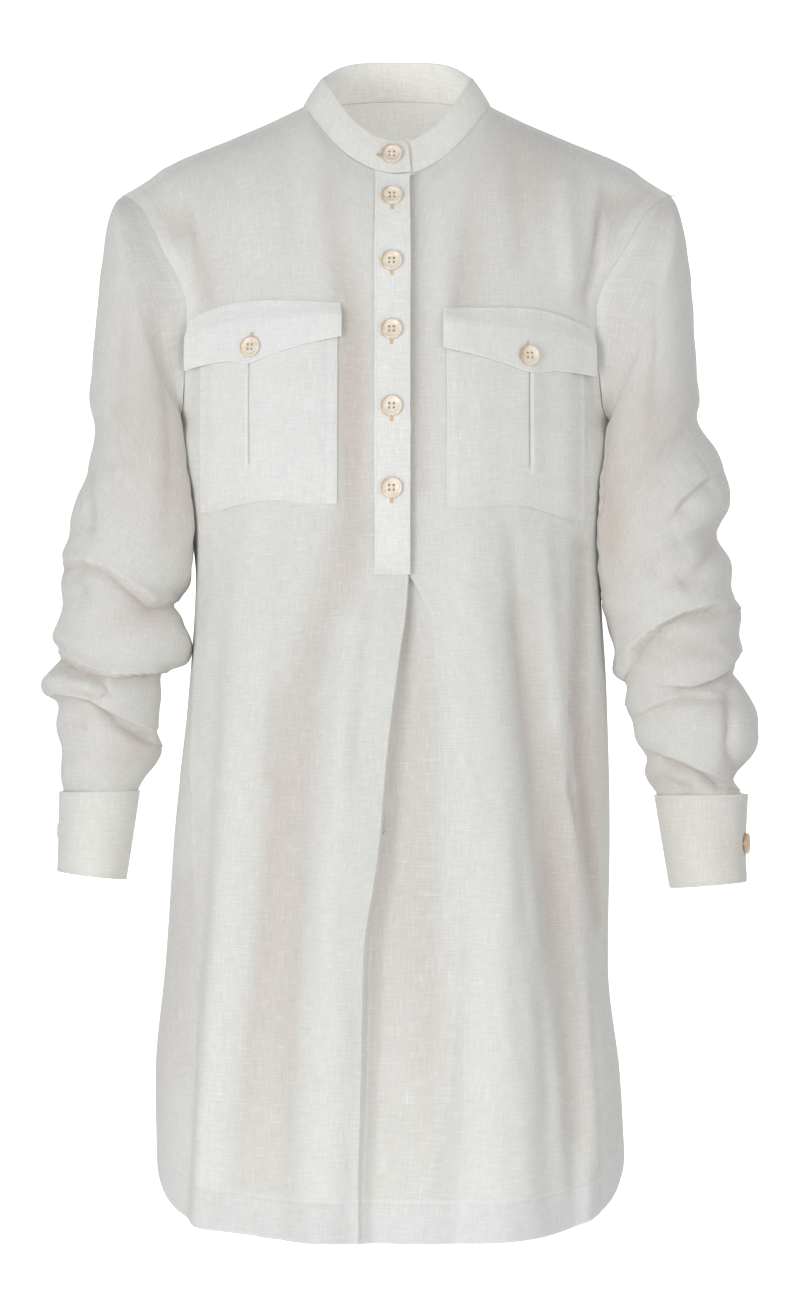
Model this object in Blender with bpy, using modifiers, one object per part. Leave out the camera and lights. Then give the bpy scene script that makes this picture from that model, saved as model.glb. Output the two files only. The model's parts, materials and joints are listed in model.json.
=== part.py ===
"""A long linen blouse: band collar, half placket, two chest pockets with pointed flaps, long cuffed
sleeves pushed up into soft folds, one pleat under the placket and a curved shirt-tail hem.

It stands open as it hangs on a wearer, who isn't there. The origin is midway between the two points
where the shoulder seams meet the collar. X runs to the left arm, Y to the back and Z up. Right and
left are the wearer's. Tables and sizes are in millimetres, and the meshes are in metres.
"""

import math
from collections import namedtuple

import bmesh
import bpy
import numpy as np
from mathutils import Matrix, Vector
from mathutils.bvhtree import BVHTree

MM = 0.001

# Cloth
CLOTH = 1.4
DOUBLED = 1.8
TURNED = 1.0
POCKET_CLOTH = 1.2
SEAM = 0.5
SHOULDER_SEAM = 1.0
ARMHOLE_SEAM = 1.1
UNDERARM_LAP = 2.3  # under the arm the sleeve starts outside the body's edge
COLLAR_SEAM = 1.3

# Neck and shoulders
NECK_HALF_WIDTH = 72
NECK_SIDE_Y = 6
NECK_FRONT_Y = -62
NECK_BACK_Y = 58
NECK_FRONT_Z = -58
NECK_BACK_Z = 8
SHOULDER_POINT_X = 213
NECK_SHARE = 0.42  # the share of a panel's half that ends on the neckline
CURVE_OF_ROWS = 3.2
FLATNESS = 0.9

# Collar band
BAND_TOP_HALF_WIDTH = 57.5
BAND_TOP_FRONT_Y = -49
BAND_TOP_BACK_Y = 50
BAND_TOP_FRONT_Z = -33
BAND_TOP_SIDE_Z = 22
BAND_TOP_BACK_Z = 38
BAND_OVER_END = 368.0  # degrees from the centre front, by the left
BAND_RAMP = (300.0, 343.0)
LAP_RISE = 2.6

# Placket
PLACKET_RIGHT_X = -17
PLACKET_LEFT_X = 10
PLACKET_END_Z = -368
SLIT_X = 8
SLIT_GAP = 1.4
UNDERLAP_IN = 4.0
UNDERLAP_FADE = 38

# Buttons
BUTTON_RADIUS = 8
BUTTON_THICK = 2.8
BUTTON_STEPS = 12
BUTTON_GAP = 0.3
PLACKET_BUTTON_X = -4
COLLAR_BUTTON_Z = -43
PLACKET_BUTTON_Z = (-76, -127, -180, -239, -301)

NECK_COLUMNS = 7
SIDE_COLUMNS = 7
BACK_NECK_COLUMNS = 13

HEM_DEPTH = 31
HEM_EDGE = 1.5
CUFF_OPENING = 4.0  # degrees round the cuff from its outer side, towards the front
CUFF_UNDERLAP = 26.0
CUFF_BUTTON = 14.0
RIGHT_CUFF_TURN = -45.0  # the right cuff's lap lies further back, out of the front view

# Rings of the body, from the hem to the chest. left and right are the half widths at the side seams,
# which the arms' armholes cut short above the armpits: turn is the angle that is left of 90.
Section = namedtuple(
    "Section",
    "level side_z right left front_z front_depth back_z back_depth front_turn back_turn",
)
SECTIONS = [
    Section(0.000, -816, 187, 177, -876, 134, -886, 128, 90, 90),
    Section(0.100, -755, 188, 173.5, -786, 132, -790, 126, 90, 90),
    Section(0.220, -666, 180, 164, -678, 129, -679, 120, 90, 90),
    Section(0.340, -565, 173, 165.5, -569, 126, -569, 112, 90, 90),
    Section(0.460, -458, 162, 163, -460, 125, -460, 105, 90, 90),
    Section(0.560, -367, 156.5, 158.5, -368, 127, -367, 104, 90, 90),
    Section(0.630, -310, 166, 165, -309, 128, -309, 107, 90, 90),
    Section(0.685, -266, 177, 173, -263, 126, -263, 110, 90, 90),
    Section(0.722, -236, 177, 170, -232, 121, -231, 112, 68.5, 77),
    Section(0.757, -203, 177, 168, -201, 114, -199, 113, 67.5, 72),
    Section(0.793, -165, 178, 168, -165, 105, -163, 111, 66, 71),
]
ARMPIT_LEVEL = 0.685
SHOULDER_STEPS = ((0.880, 0.40), (0.948, 0.75), (1.000, 1.00))
ARMHOLE_LEVELS = (
    0.685, 0.692, 0.702, 0.714, 0.730, 0.754, 0.785, 0.820, 0.858, 0.896, 0.934, 0.969, 1.0
)
LEVELS = np.array([s.level for s in SECTIONS] + [level for level, _ in SHOULDER_STEPS])

# The shoulder seam as the front view shows it
SHOULDER_X = (72, 100, 133, 167, 183, 193, 204, 213)
SHOULDER_Z = (0, -13.5, -27.5, -41, -49, -57, -64, -69)

# Soft folds, seen from the front or the back: where each starts and ends, how far it rises there
# (less than 0 is a trough) and how wide it is.
Fold = namedtuple("Fold", "x_top z_top rise_top x_low z_low rise_low width")
FRONT_FOLDS = [
    Fold(-55, -55, -1.5, -37, -160, -4.5, 13),
    Fold(-37, -160, -4.5, -33, -330, -4.0, 13),
    Fold(-33, -330, -4.0, -76, -470, -5.0, 20),
    Fold(-76, -470, -5.0, -110, -880, -8.0, 28),
    Fold(-112, -335, 2.0, -122, -560, 6.0, 24),
    Fold(-122, -560, 6.0, -146, -860, 8.0, 24),
    Fold(-38, -410, 3.0, -54, -640, 5.0, 18),
    Fold(-54, -640, 5.0, -60, -880, 6.0, 20),
    Fold(-152, -560, -2.0, -172, -840, -5.0, 16),
    Fold(65, -35, -1.5, 52, -155, -3.0, 13),
    Fold(128, -68, 2.0, 132, -135, 3.0, 15),
    Fold(168, -75, -3.0, 146, -150, -3.0, 10),
    Fold(-176, -88, -3.0, -146, -150, -2.5, 12),
    Fold(62, -345, 2.0, 74, -600, 7.0, 25),
    Fold(74, -600, 7.0, 82, -880, 9.0, 28),
    Fold(94, -400, -3.0, 124, -600, -6.0, 18),
    Fold(124, -600, -6.0, 138, -800, -4.0, 18),
    Fold(142, -350, -5.0, 141, -470, -8.0, 11),
    Fold(141, -470, -8.0, 155, -630, -5.0, 11),
]
BACK_FOLDS = [
    Fold(-20, -120, 2.0, -34, -480, 8.0, 28),
    Fold(-34, -480, 8.0, -44, -890, 12.0, 32),
    Fold(40, -160, -2.0, 24, -520, -7.0, 24),
    Fold(24, -520, -7.0, 14, -890, -9.0, 26),
    Fold(88, -180, 2.0, 84, -540, 7.0, 26),
    Fold(84, -540, 7.0, 78, -890, 10.0, 28),
    Fold(-92, -220, -3.0, -104, -560, -8.0, 24),
    Fold(-104, -560, -8.0, -112, -890, -9.0, 28),
    Fold(128, -330, -4.0, 132, -800, -8.0, 18),
    Fold(-140, -360, 3.0, -152, -800, 6.0, 18),
]
GIRTH_RADIUS = 165

# The pleat under the placket: its pressed edge, how far it folds back under, how deep it is, and
# where the left half of the front comes up to the surface again.
Pleat = namedtuple("Pleat", "z edge_x under deep rise_x")
PLEAT = [
    Pleat(-368, 8, 15, 5.5, 10.5),
    Pleat(-396, 6, 12, 9, 27),
    Pleat(-430, 1, 9, 13, 37),
    Pleat(-500, -8, 5, 17, 44),
    Pleat(-580, -15, 2, 18, 46),
    Pleat(-660, -26, 0.5, 17, 46),
    Pleat(-760, -28, 0, 15, 38),
    Pleat(-840, -30, 0, 12, 22),
    Pleat(-890, -30, 0, 11, 16),
]
# Across the pleat, column by column: how far along the fold back (1 is its inner turn), along the way
# to the far side, and how deep, as shares of the depth.
Bend = namedtuple("Bend", "back far deep")
PLEAT_BENDS = [
    Bend(0, 0, 0), Bend(-0.03, 0.02, 0.28), Bend(0.42, 0.05, 0.46), Bend(0.96, 0.08, 0.50),
    Bend(1.0, 0.14, 0.78), Bend(0.45, 0.26, 1.0), Bend(0, 0.58, 0.72), Bend(0, 1, 0),
]

# Rings of each sleeve under the armhole, by their outermost and innermost points in the front view,
# their half depth and the place of their middle from front to back.
Ring = namedtuple("Ring", "outer_x outer_z inner_x inner_z depth mid_y")
RIGHT_SLEEVE = [
    Ring(-221, -80, -158, -268, 54, -8),
    Ring(-228, -112, -153, -277, 61, -10),
    Ring(-233, -159, -150.5, -290, 65, -12),
    Ring(-237, -206, -149.5, -307, 66, -14),
    Ring(-239, -231, -150, -322, 65, -15),
    Ring(-234.5, -254, -151, -336, 62, -16),
    Ring(-241.5, -286, -155, -354, 62, -17),
    Ring(-251.5, -316, -162, -372, 61, -18),
    Ring(-254.5, -338, -172, -387, 54, -19),
    Ring(-260, -362, -166, -400, 60, -20),
    Ring(-260.5, -393, -161, -415, 61, -21),
    Ring(-266, -413, -163, -433, 57, -22),
    Ring(-260.5, -425, -178, -441, 48, -23),
    Ring(-273, -447, -184.5, -462, 52, -24),
    Ring(-272, -458, -187, -474, 50, -25),
    Ring(-264.5, -466, -188.5, -486, 44, -25),
    Ring(-263.5, -480, -181.5, -500, 48, -26),
    Ring(-261, -500, -187, -512, 45, -26),
    Ring(-260, -520, -196, -523, 41, -27),
    Ring(-259.7, -533, -199.5, -532, 38.6, -27),
]
LEFT_SLEEVE = [
    Ring(218.5, -82, 156, -268, 54, -8),
    Ring(226, -116, 150, -278, 61, -10),
    Ring(230, -160, 147, -291, 65, -12),
    Ring(232.5, -205, 145, -308, 66, -14),
    Ring(235, -230, 145, -323, 64, -15),
    Ring(233.5, -247, 146, -336, 60, -16),
    Ring(247, -269, 148, -350, 62, -17),
    Ring(257, -292, 151.5, -363, 63, -18),
    Ring(258, -311, 155, -376, 61, -19),
    Ring(249.5, -330, 159.5, -391, 54, -20),
    Ring(258.5, -354, 165, -408, 60, -20),
    Ring(259, -378, 170, -424, 54, -21),
    Ring(267.5, -395, 169.5, -441, 57, -22),
    Ring(265, -413.5, 176.5, -450, 49, -23),
    Ring(267, -427, 178, -459, 52, -24),
    Ring(263, -443, 179, -469, 46, -24),
    Ring(275, -463, 183, -481, 51, -25),
    Ring(280.5, -484, 186, -495, 52, -26),
    Ring(276, -505, 193, -508, 48, -26),
    Ring(261, -522, 193.5, -521, 41, -27),
    Ring(269, -534.5, 199.8, -535.5, 39.5, -27),
]
RIGHT_CUFF = [
    Ring(-259.6, -534.2, -200, -533.2, 38.5, -27),
    Ring(-260, -565, -205, -567, 39, -28),
    Ring(-261, -596, -210.4, -602, 39.5, -29),
]
LEFT_CUFF = [
    Ring(269, -535.7, 200.1, -536.7, 39.4, -27),
    Ring(267.2, -574, 206.5, -576, 39.5, -28),
    Ring(268, -603.7, 212, -608.5, 40, -29),
]
# How far a sleeve's middle keeps from the body's, where it lies along it
BESIDE_BODY = 4.0

# Outlines of the pockets and flaps in the front view, from the middle of the chest outwards: x, the
# top edge and the bottom edge. The flap's point and the pocket's pleat are on the row at pleat_x.
Edge = namedtuple("Edge", "x top bottom")
RIGHT_FLAP = [
    Edge(-44, -159.5, -186), Edge(-72, -158, -193), Edge(-93, -157, -199), Edge(-111.5, -157.5, -206),
    Edge(-128, -159.5, -204), Edge(-144, -164, -206), Edge(-159.5, -171, -209.5),
]
LEFT_FLAP = [
    Edge(35.5, -164, -195), Edge(60, -163.5, -201), Edge(82, -163, -207.5), Edge(100.6, -163.5, -213.5),
    Edge(118, -166, -212), Edge(135, -172, -213), Edge(149, -178, -214.5),
]
RIGHT_POCKET = [
    Edge(-46, -170, -313), Edge(-70, -170, -312.5), Edge(-93, -170, -310), Edge(-111.5, -171, -312),
    Edge(-127, -173, -315), Edge(-139, -177, -318), Edge(-150, -182, -318),
]
LEFT_POCKET = [
    Edge(38, -175, -316), Edge(60, -175, -316.5), Edge(80, -175, -314), Edge(100, -176, -315),
    Edge(116, -179, -320), Edge(130, -184, -324), Edge(143, -190, -325),
]
POCKET_SEAT = 2.8
POCKET_SWELL = 1.6
FLAP_SEAT = 2.5
FLAP_LIFT = 3.4

# Points inside the garment, which its sheets face away from
BODY_MIDDLE = (0, 0, -450)
BEHIND_CHEST = (0, 200, -200)
HEM_MIDDLE = (0, 0, -850)
ARM_MIDDLE = (210, -8, -400)
CUFF_MIDDLE_Z = -570
FRONT_OF_ALL = -400

LINEN = ("linen", (0.80, 0.80, 0.77), 0.9)
LINEN_DOUBLED = ("linen_doubled", (0.84, 0.84, 0.81), 0.88)
BUTTON = ("button", (0.86, 0.74, 0.60), 0.3)


def through(knots, values, at, level_off=False):
    """A smooth curve through values at the knots, read at each place in at. values may hold one row
    for each knot, with one entry or point for each place. level_off keeps it from passing its knots."""
    knots = np.asarray(knots, float)
    values = np.asarray(values, float)
    at = np.asarray(at, float)
    slopes = np.gradient(values, knots, axis=0)
    if level_off:
        rises = np.diff(values, axis=0) / np.diff(knots).reshape(-1, *[1] * (values.ndim - 1))
        before, after = rises[:-1], rises[1:]
        same = before * after > 0
        slopes[1:-1] = np.where(same, 2 * before * after / np.where(same, before + after, 1), 0)
    i = np.clip(np.searchsorted(knots, at) - 1, 0, len(knots) - 2)
    span = knots[i + 1] - knots[i]
    t = np.clip((at - knots[i]) / span, 0, 1)
    if values.ndim == 3:
        each = np.arange(len(at))
        ends = values[i, each], values[i + 1, each]
        turns = slopes[i, each], slopes[i + 1, each]
        t, span = t[:, None], span[:, None]
    else:
        ends = values[i], values[i + 1]
        turns = slopes[i], slopes[i + 1]
    t2, t3 = t * t, t * t * t
    return (
        (2 * t3 - 3 * t2 + 1) * ends[0]
        + (t3 - 2 * t2 + t) * span * turns[0]
        + (3 * t2 - 2 * t3) * ends[1]
        + (t3 - t2) * span * turns[1]
    )


def smooth(t):
    """A soft step from 0 to 1."""
    t = np.clip(t, 0, 1)
    return t * t * (3 - 2 * t)


def girth(x):
    """How far round the body a place lies that the front view shows at x."""
    return GIRTH_RADIUS * np.arcsin(np.clip(np.asarray(x, float) / GIRTH_RADIUS, -0.97, 0.97))


def section_row(section, s, face):
    """One ring's half, front (face -1) or back (face 1), at s from -1, the right side, to 1."""
    turn = math.radians(section.front_turn if face < 0 else section.back_turn)
    depth = section.front_depth if face < 0 else section.back_depth
    mid_z = section.front_z if face < 0 else section.back_z
    half = np.where(s < 0, section.right, section.left)
    x = half * np.sin(s * turn)
    y = face * (SEAM / 2 + depth * np.clip(np.cos(s * turn), 0, 1) ** FLATNESS)
    z = section.side_z + (mid_z - section.side_z) * (1 - np.abs(s) ** CURVE_OF_ROWS)
    return np.stack([x, y, z], axis=-1)


def top_row(s, face):
    """The panel's top edge: the neckline in the middle and a shoulder seam on each side."""
    neck = np.abs(s) < NECK_SHARE
    angle = np.clip(s / NECK_SHARE, -1, 1) * math.pi / 2
    mid_y = NECK_FRONT_Y if face < 0 else NECK_BACK_Y
    mid_z = NECK_FRONT_Z if face < 0 else NECK_BACK_Z
    along = np.clip((np.abs(s) - NECK_SHARE) / (1 - NECK_SHARE), 0, 1)
    out = NECK_HALF_WIDTH + (SHOULDER_POINT_X - NECK_HALF_WIDTH) * along
    x = np.where(neck, NECK_HALF_WIDTH * np.sin(angle), np.sign(s) * out)
    side_y = NECK_SIDE_Y + face * SHOULDER_SEAM / 2
    y = np.where(neck, side_y + (mid_y - side_y) * np.cos(angle), side_y)
    z = np.where(neck, mid_z * np.cos(angle) ** 2, np.interp(out, SHOULDER_X, SHOULDER_Z))
    return np.stack([x, y, z], axis=-1)


def shoulder_row(s, t, face):
    """A row between the chest and the panel's top edge, rounded over the shoulder."""
    low, top = section_row(SECTIONS[-1], s, face), top_row(s, face)
    round_it = 0.35 + 0.45 * smooth(np.abs(s) / NECK_SHARE)
    turn = t * math.pi / 2
    over = t + (1 - math.cos(turn) - t) * round_it
    up = t + (math.sin(turn) - t) * round_it
    share = np.stack([np.full_like(s, t), over, up], axis=-1)
    return low + (top - low) * share


def panel(s, level, face):
    """The plain panel, front or back, without its folds."""
    rows = [section_row(section, s, face) for section in SECTIONS]
    rows += [shoulder_row(s, t, face) for _, t in SHOULDER_STEPS]
    return through(LEVELS, np.stack(rows), level, level_off=True)


def outward(surface, s, level, face):
    """Unit vectors out of a panel, from its slopes."""
    ds, dl = 1e-3, 1e-3
    across = surface(np.clip(s + ds, -1, 1), level, face) - surface(np.clip(s - ds, -1, 1), level, face)
    low, high = np.clip(level - dl, 0, 1), np.clip(level + dl, 0, 1)
    up = surface(s, high, face) - surface(s, low, face)
    n = np.cross(across, up) * -face
    return n / np.maximum(np.linalg.norm(n, axis=-1, keepdims=True), 1e-9)


def fold_rise(folds, x, z):
    """How far the folds lift the cloth at places of the front or back view."""
    round_x = girth(x)
    rise = np.zeros_like(round_x)
    for f in folds:
        top, low = np.array([girth(f.x_top), f.z_top]), np.array([girth(f.x_low), f.z_low])
        line = low - top
        away = np.stack([round_x, z], axis=-1) - top
        t = (away @ line) / (line @ line)
        held = np.clip(t, 0, 1)
        off = np.linalg.norm(away - held[..., None] * line, axis=-1)
        rise += (f.rise_top + (f.rise_low - f.rise_top) * held) * np.exp(-((off / f.width) ** 2))
    return rise


def body(s, level, face):
    """A panel with its folds, which die away at the armholes, the neck and the side seams."""
    place = panel(s, level, face)
    folds = FRONT_FOLDS if face < 0 else BACK_FOLDS
    keep = smooth((1 - np.abs(s)) / 0.10) * smooth((1 - level) / 0.05)
    rise = fold_rise(folds, place[..., 0], place[..., 2]) * keep
    return place + outward(panel, s, level, face) * rise[..., None]


def share_at(x, level):
    """The s of the front that lies at x, near its middle, at each level."""
    turn = np.radians(np.interp(level, LEVELS[: len(SECTIONS)], [c.front_turn for c in SECTIONS]))
    right = np.interp(level, LEVELS[: len(SECTIONS)], [c.right for c in SECTIONS])
    left = np.interp(level, LEVELS[: len(SECTIONS)], [c.left for c in SECTIONS])
    s = np.arcsin(np.clip(x / np.where(x < 0, right, left), -1, 1)) / turn
    above = smooth((level - SECTIONS[-1].level) / (1 - SECTIONS[-1].level))
    neck = np.arcsin(np.clip(x / NECK_HALF_WIDTH, -1, 1)) / (math.pi / 2) * NECK_SHARE
    return s + (neck - s) * above


def level_of(z):
    """The level at which the middle of the front is at height z."""
    levels = np.linspace(0, 1, 400)
    heights = panel(np.zeros_like(levels), levels, -1)[:, 2]
    return np.interp(z, heights, levels)


def pleat_at(z):
    """The pleat's edge, fold back, depth and far side at height z, which hold above the placket's end."""
    table = np.array(PLEAT)[::-1]
    z = np.clip(z, table[0, 0], table[-1, 0])
    return [np.interp(z, table[:, 0], table[:, column]) for column in range(1, 5)]


def front_half(q, level, side):
    """The front from its middle (q 0) to a side seam (q 1): side -1 is the right half, which ends on the
    pleat's pressed edge, and side 1 the left half, which starts under the placket."""
    mid_z = panel(np.zeros_like(level), level, -1)[:, 2]
    edge_x, _, _, rise_x = pleat_at(mid_z)
    slit = mid_z > PLACKET_END_Z - 0.5
    start_x = edge_x if side < 0 else np.where(slit, SLIT_X + SLIT_GAP, rise_x)
    start = share_at(start_x, level)
    s = start + (side - start) * q
    place = body(s, level, -1)
    if side > 0:
        near = 1 - smooth((place[:, 0] - start_x) / UNDERLAP_FADE)
        kept = np.where(slit, 1, smooth((mid_z + 470) / 100))
        place = place - outward(panel, s, level, -1) * (UNDERLAP_IN * near * kept)[:, None]
    return place


def front_pleat(p, level):
    """The cloth folded into the pleat, from the pressed edge (p 0) to the left half (p 1)."""
    mid_z = panel(np.zeros_like(level), level, -1)[:, 2]
    edge_x, under, deep, rise_x = pleat_at(mid_z)
    bends = np.array(PLEAT_BENDS)
    back, far, inward = (np.interp(p, np.linspace(0, 1, len(bends)), bends[:, k]) for k in range(3))
    x = edge_x - under * back + (rise_x - edge_x) * far
    s = share_at(x, level)
    first = front_half(np.zeros_like(level), level, -1)
    last = front_half(np.zeros_like(level), level, 1)
    place = body(s, level, -1) - outward(panel, s, level, -1) * (deep * inward)[:, None]
    first_off = first - body(share_at(edge_x, level), level, -1)
    last_off = last - body(share_at(rise_x, level), level, -1)
    return place + first_off * (1 - p)[:, None] + last_off * (p ** 2)[:, None]


def locate(x, z):
    """The s and level of the front that the front view shows at x and z, found by Newton's method."""
    x, z = np.asarray(x, float), np.asarray(z, float)
    level = level_of(z)
    s = share_at(x, level)
    step = 1e-4
    for _ in range(8):
        here = body(s, level, -1)
        by_s = (body(s + step, level, -1) - here) / step
        by_level = (body(s, level - step, -1) - here) / -step
        dx, dz = x - here[:, 0], z - here[:, 2]
        det = by_s[:, 0] * by_level[:, 2] - by_level[:, 0] * by_s[:, 2]
        s = np.clip(s + (dx * by_level[:, 2] - dz * by_level[:, 0]) / det, -1, 1)
        level = np.clip(level + (by_s[:, 0] * dz - by_s[:, 2] * dx) / det, 0, 1)
    return s, level


def armhole_run(side, face):
    """How far round from the shoulder point each level of an armhole's edge lies: 0 to 180."""
    levels = np.linspace(1, ARMPIT_LEVEL, 60)
    edge = panel(np.full_like(levels, side), levels, face)
    run = np.concatenate([[0], np.cumsum(np.linalg.norm(np.diff(edge, axis=0), axis=1))])
    return levels, run / run[-1] * 180


def armhole_angles(side):
    """The angles round an armhole at which the front and the back have their rows."""
    angles = []
    for face in (-1, 1):
        levels, turns = armhole_run(side, face)
        angles.append(np.interp(ARMHOLE_LEVELS, levels[::-1], turns[::-1])[::-1])
    front, back = angles
    return np.concatenate([front, 360 - back[::-1][1:]])


def armhole(side, angle):
    """The edge of an armhole: 0 degrees is the shoulder point, 90 the front, 180 the armpit."""
    places = []
    for face in (-1, 1):
        levels, turns = armhole_run(side, face)
        level = np.interp(np.where(angle <= 180, angle, 360 - angle), turns, levels)
        places.append(panel(np.full_like(level, side), level, face))
    return np.where((angle <= 180)[:, None], places[0], places[1])


def armhole_out(side, angle):
    """The way out of the front and the back at their armhole edges."""
    ways = []
    for face in (-1, 1):
        levels, turns = armhole_run(side, face)
        level = np.interp(np.where(angle <= 180, angle, 360 - angle), turns, levels)
        ways.append(outward(panel, np.full_like(level, side * 0.999), level, face))
    return np.where((angle <= 180)[:, None], ways[0], ways[1])


def sleeve_ring(ring, angle):
    """The points of one ring: 0 degrees is its outer side, 90 its front and 180 its inner side."""
    turn = np.radians(angle)
    outer = np.array([ring.outer_x, ring.mid_y, ring.outer_z])
    inner = np.array([ring.inner_x, ring.mid_y, ring.inner_z])
    middle, arm = (outer + inner) / 2, (outer - inner) / 2
    front = np.array([0, -ring.depth, 0])
    return middle + np.cos(turn)[:, None] * arm + np.sin(turn)[:, None] * front


def beside_body(points, side):
    """Points of a sleeve's ring, those that would lie in the body moved out to its side."""
    heights = [section.side_z for section in SECTIONS]
    halves = [section.right if side < 0 else section.left for section in SECTIONS]
    depths = [[section.front_depth for section in SECTIONS], [section.back_depth for section in SECTIONS]]
    half = np.interp(points[:, 2], heights, halves)
    depth = np.where(points[:, 1] < 0, *[np.interp(points[:, 2], heights, d) for d in depths])
    level = np.clip(np.abs(points[:, 1]) / depth, 0, 1) ** (1 / FLATNESS)
    short = half * np.sqrt(1 - level ** 2) + BESIDE_BODY - points[:, 0] * side
    moved = points.copy()
    moved[:, 0] += side * np.clip(short, 0, None) * smooth((-points[:, 2] - 215) / 20)
    return moved


def sleeve(side, rings, angle, along):
    """A sleeve: along 0 is the armhole seam, and each ring is one step further."""
    keys = [armhole(side, angle)] + [beside_body(sleeve_ring(ring, angle), side) for ring in rings]
    first_step = keys[1] - keys[0]
    on = first_step / np.maximum(np.linalg.norm(first_step, axis=1, keepdims=True), 1e-6)
    under = smooth((88 - np.abs(angle - 180)) / 45)[:, None]
    keys[0] = keys[0] + on * ARMHOLE_SEAM * (1 - under) + armhole_out(side, angle) * UNDERARM_LAP * under
    return through(np.arange(len(keys)), np.stack(keys), along)


def grid_mesh(name, columns, rows, place, skip=None):
    """An open sheet: a grid of the given columns and rows, each vertex moved to its place. skip names
    the cells that are left out, by the column and row that they start on."""
    bm = bmesh.new()
    bmesh.ops.create_grid(bm, x_segments=len(columns) - 1, y_segments=len(rows) - 1, size=1.0)
    bm.verts.ensure_lookup_table()
    cells = [(round((v.co.x + 1) / 2 * (len(columns) - 1)), round((v.co.y + 1) / 2 * (len(rows) - 1)))
             for v in bm.verts]
    points = place(np.array([columns[i] for i, _ in cells]), np.array([rows[j] for _, j in cells]))
    for vertex, point in zip(bm.verts, points):
        vertex.co = Vector(point) * MM
    if skip:
        cell_of = dict(zip(bm.verts, cells))
        gone = [f for f in bm.faces if skip(min(cell_of[v][0] for v in f.verts),
                                            min(cell_of[v][1] for v in f.verts))]
        bmesh.ops.delete(bm, geom=gone, context="FACES")
    mesh = bpy.data.meshes.new(name)
    bm.to_mesh(mesh)
    bm.free()
    return mesh


def material(finish):
    """The material of a finish, made once."""
    name, colour, roughness = finish
    made = bpy.data.materials.get(name) or bpy.data.materials.new(name)
    made.use_nodes = True
    shader = made.node_tree.nodes["Principled BSDF"]
    shader.inputs["Base Color"].default_value = (*colour, 1)
    shader.inputs["Roughness"].default_value = roughness
    return made


def add(name, mesh, finish, collection):
    """An object of this name in the garment's collection."""
    piece = bpy.data.objects.new(name, mesh)
    mesh.materials.append(material(finish))
    mesh.shade_smooth()
    collection.objects.link(piece)
    return piece


def wall(name, mesh, thick, finish, collection):
    """A piece of cloth: the open sheet, given its thickness evenly on both sides."""
    piece = add(name, mesh, finish, collection)
    solidify = piece.modifiers.new("thickness", "SOLIDIFY")
    solidify.thickness = thick * MM
    solidify.offset = 0
    solidify.use_even_offset = True
    solidify.thickness_clamp = 0
    return piece


def close_tube(mesh):
    """Joins the first and last columns of a sheet that goes all the way round."""
    bm = bmesh.new()
    bm.from_mesh(mesh)
    bmesh.ops.remove_doubles(bm, verts=bm.verts, dist=0.00002)
    bm.to_mesh(mesh)
    bm.free()


def face_out(mesh, inside):
    """Turns a sheet's faces away from a point inside the garment."""
    bm = bmesh.new()
    bm.from_mesh(mesh)
    bm.normal_update()
    centre = Vector(inside) * MM
    votes = sum(
        (f.calc_center_median() - centre).dot(f.normal) * f.calc_area() for f in bm.faces
    )
    if votes < 0:
        bmesh.ops.reverse_faces(bm, faces=bm.faces)
    bm.to_mesh(mesh)
    bm.free()


def neck_columns(side, neck_count, side_count):
    """The q of columns from a half's start to the shoulder's neck end, then on to its side."""
    start = share_at(np.array([SLIT_X if side < 0 else SLIT_X + SLIT_GAP]), np.array([1.0]))[0]
    neck = (side * NECK_SHARE - start) / (side - start)
    return np.concatenate([np.linspace(0, neck, neck_count), np.linspace(neck, 1, side_count)[1:]])


def front_columns():
    """The front's columns from the right side seam to the left one: which part each is on, and where."""
    right = [("right", q) for q in neck_columns(-1, NECK_COLUMNS, SIDE_COLUMNS)[::-1]]
    pleat = [("pleat", p) for p in np.linspace(0, 1, len(PLEAT_BENDS))[1:-1]]
    left = [("left", q) for q in neck_columns(1, NECK_COLUMNS, SIDE_COLUMNS)]
    return right, pleat, left


def front_place(columns):
    """A function from column numbers and levels to points of the front."""
    def place(numbers, levels):
        kinds = np.array([columns[int(i)][0] for i in numbers])
        shares = np.array([columns[int(i)][1] for i in numbers])
        points = np.zeros((len(numbers), 3))
        for kind, make in (
            ("right", lambda q, v: front_half(q, v, -1)),
            ("left", lambda q, v: front_half(q, v, 1)),
            ("pleat", front_pleat),
        ):
            chosen = kinds == kind
            if chosen.any():
                points[chosen] = make(shares[chosen], levels[chosen])
        return points
    return place


def make_front(collection):
    """The front in one piece, slit from the neck to the end of the placket and pleated under it."""
    right, pleat, left = front_columns()
    columns = right + pleat + left
    slit_level = float(level_of(np.array([PLACKET_END_Z]))[0])
    low = np.linspace(0, slit_level, 12)
    rows = np.concatenate([low, np.linspace(slit_level, ARMPIT_LEVEL, 4)[1:], ARMHOLE_LEVELS[1:]])
    first_pleat, last_pleat = len(right) - 1, len(right) + len(pleat) - 1

    def skip(column, row):
        return row >= len(low) - 1 and first_pleat <= column <= last_pleat

    mesh = grid_mesh("front", list(range(len(columns))), rows, front_place(columns), skip)
    clear_loose(mesh)
    face_out(mesh, BODY_MIDDLE)
    wall("front", mesh, CLOTH, LINEN, collection)
    make_hem_facing("front", len(columns), front_place(columns), rows[1], collection)
    return BVHTree.FromPolygons([v.co for v in mesh.vertices], [tuple(p.vertices) for p in mesh.polygons])


def clear_loose(mesh):
    """Removes vertices that no face uses."""
    bm = bmesh.new()
    bm.from_mesh(mesh)
    loose = [v for v in bm.verts if not v.link_faces]
    bmesh.ops.delete(bm, geom=loose, context="VERTS")
    bm.to_mesh(mesh)
    bm.free()


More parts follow.
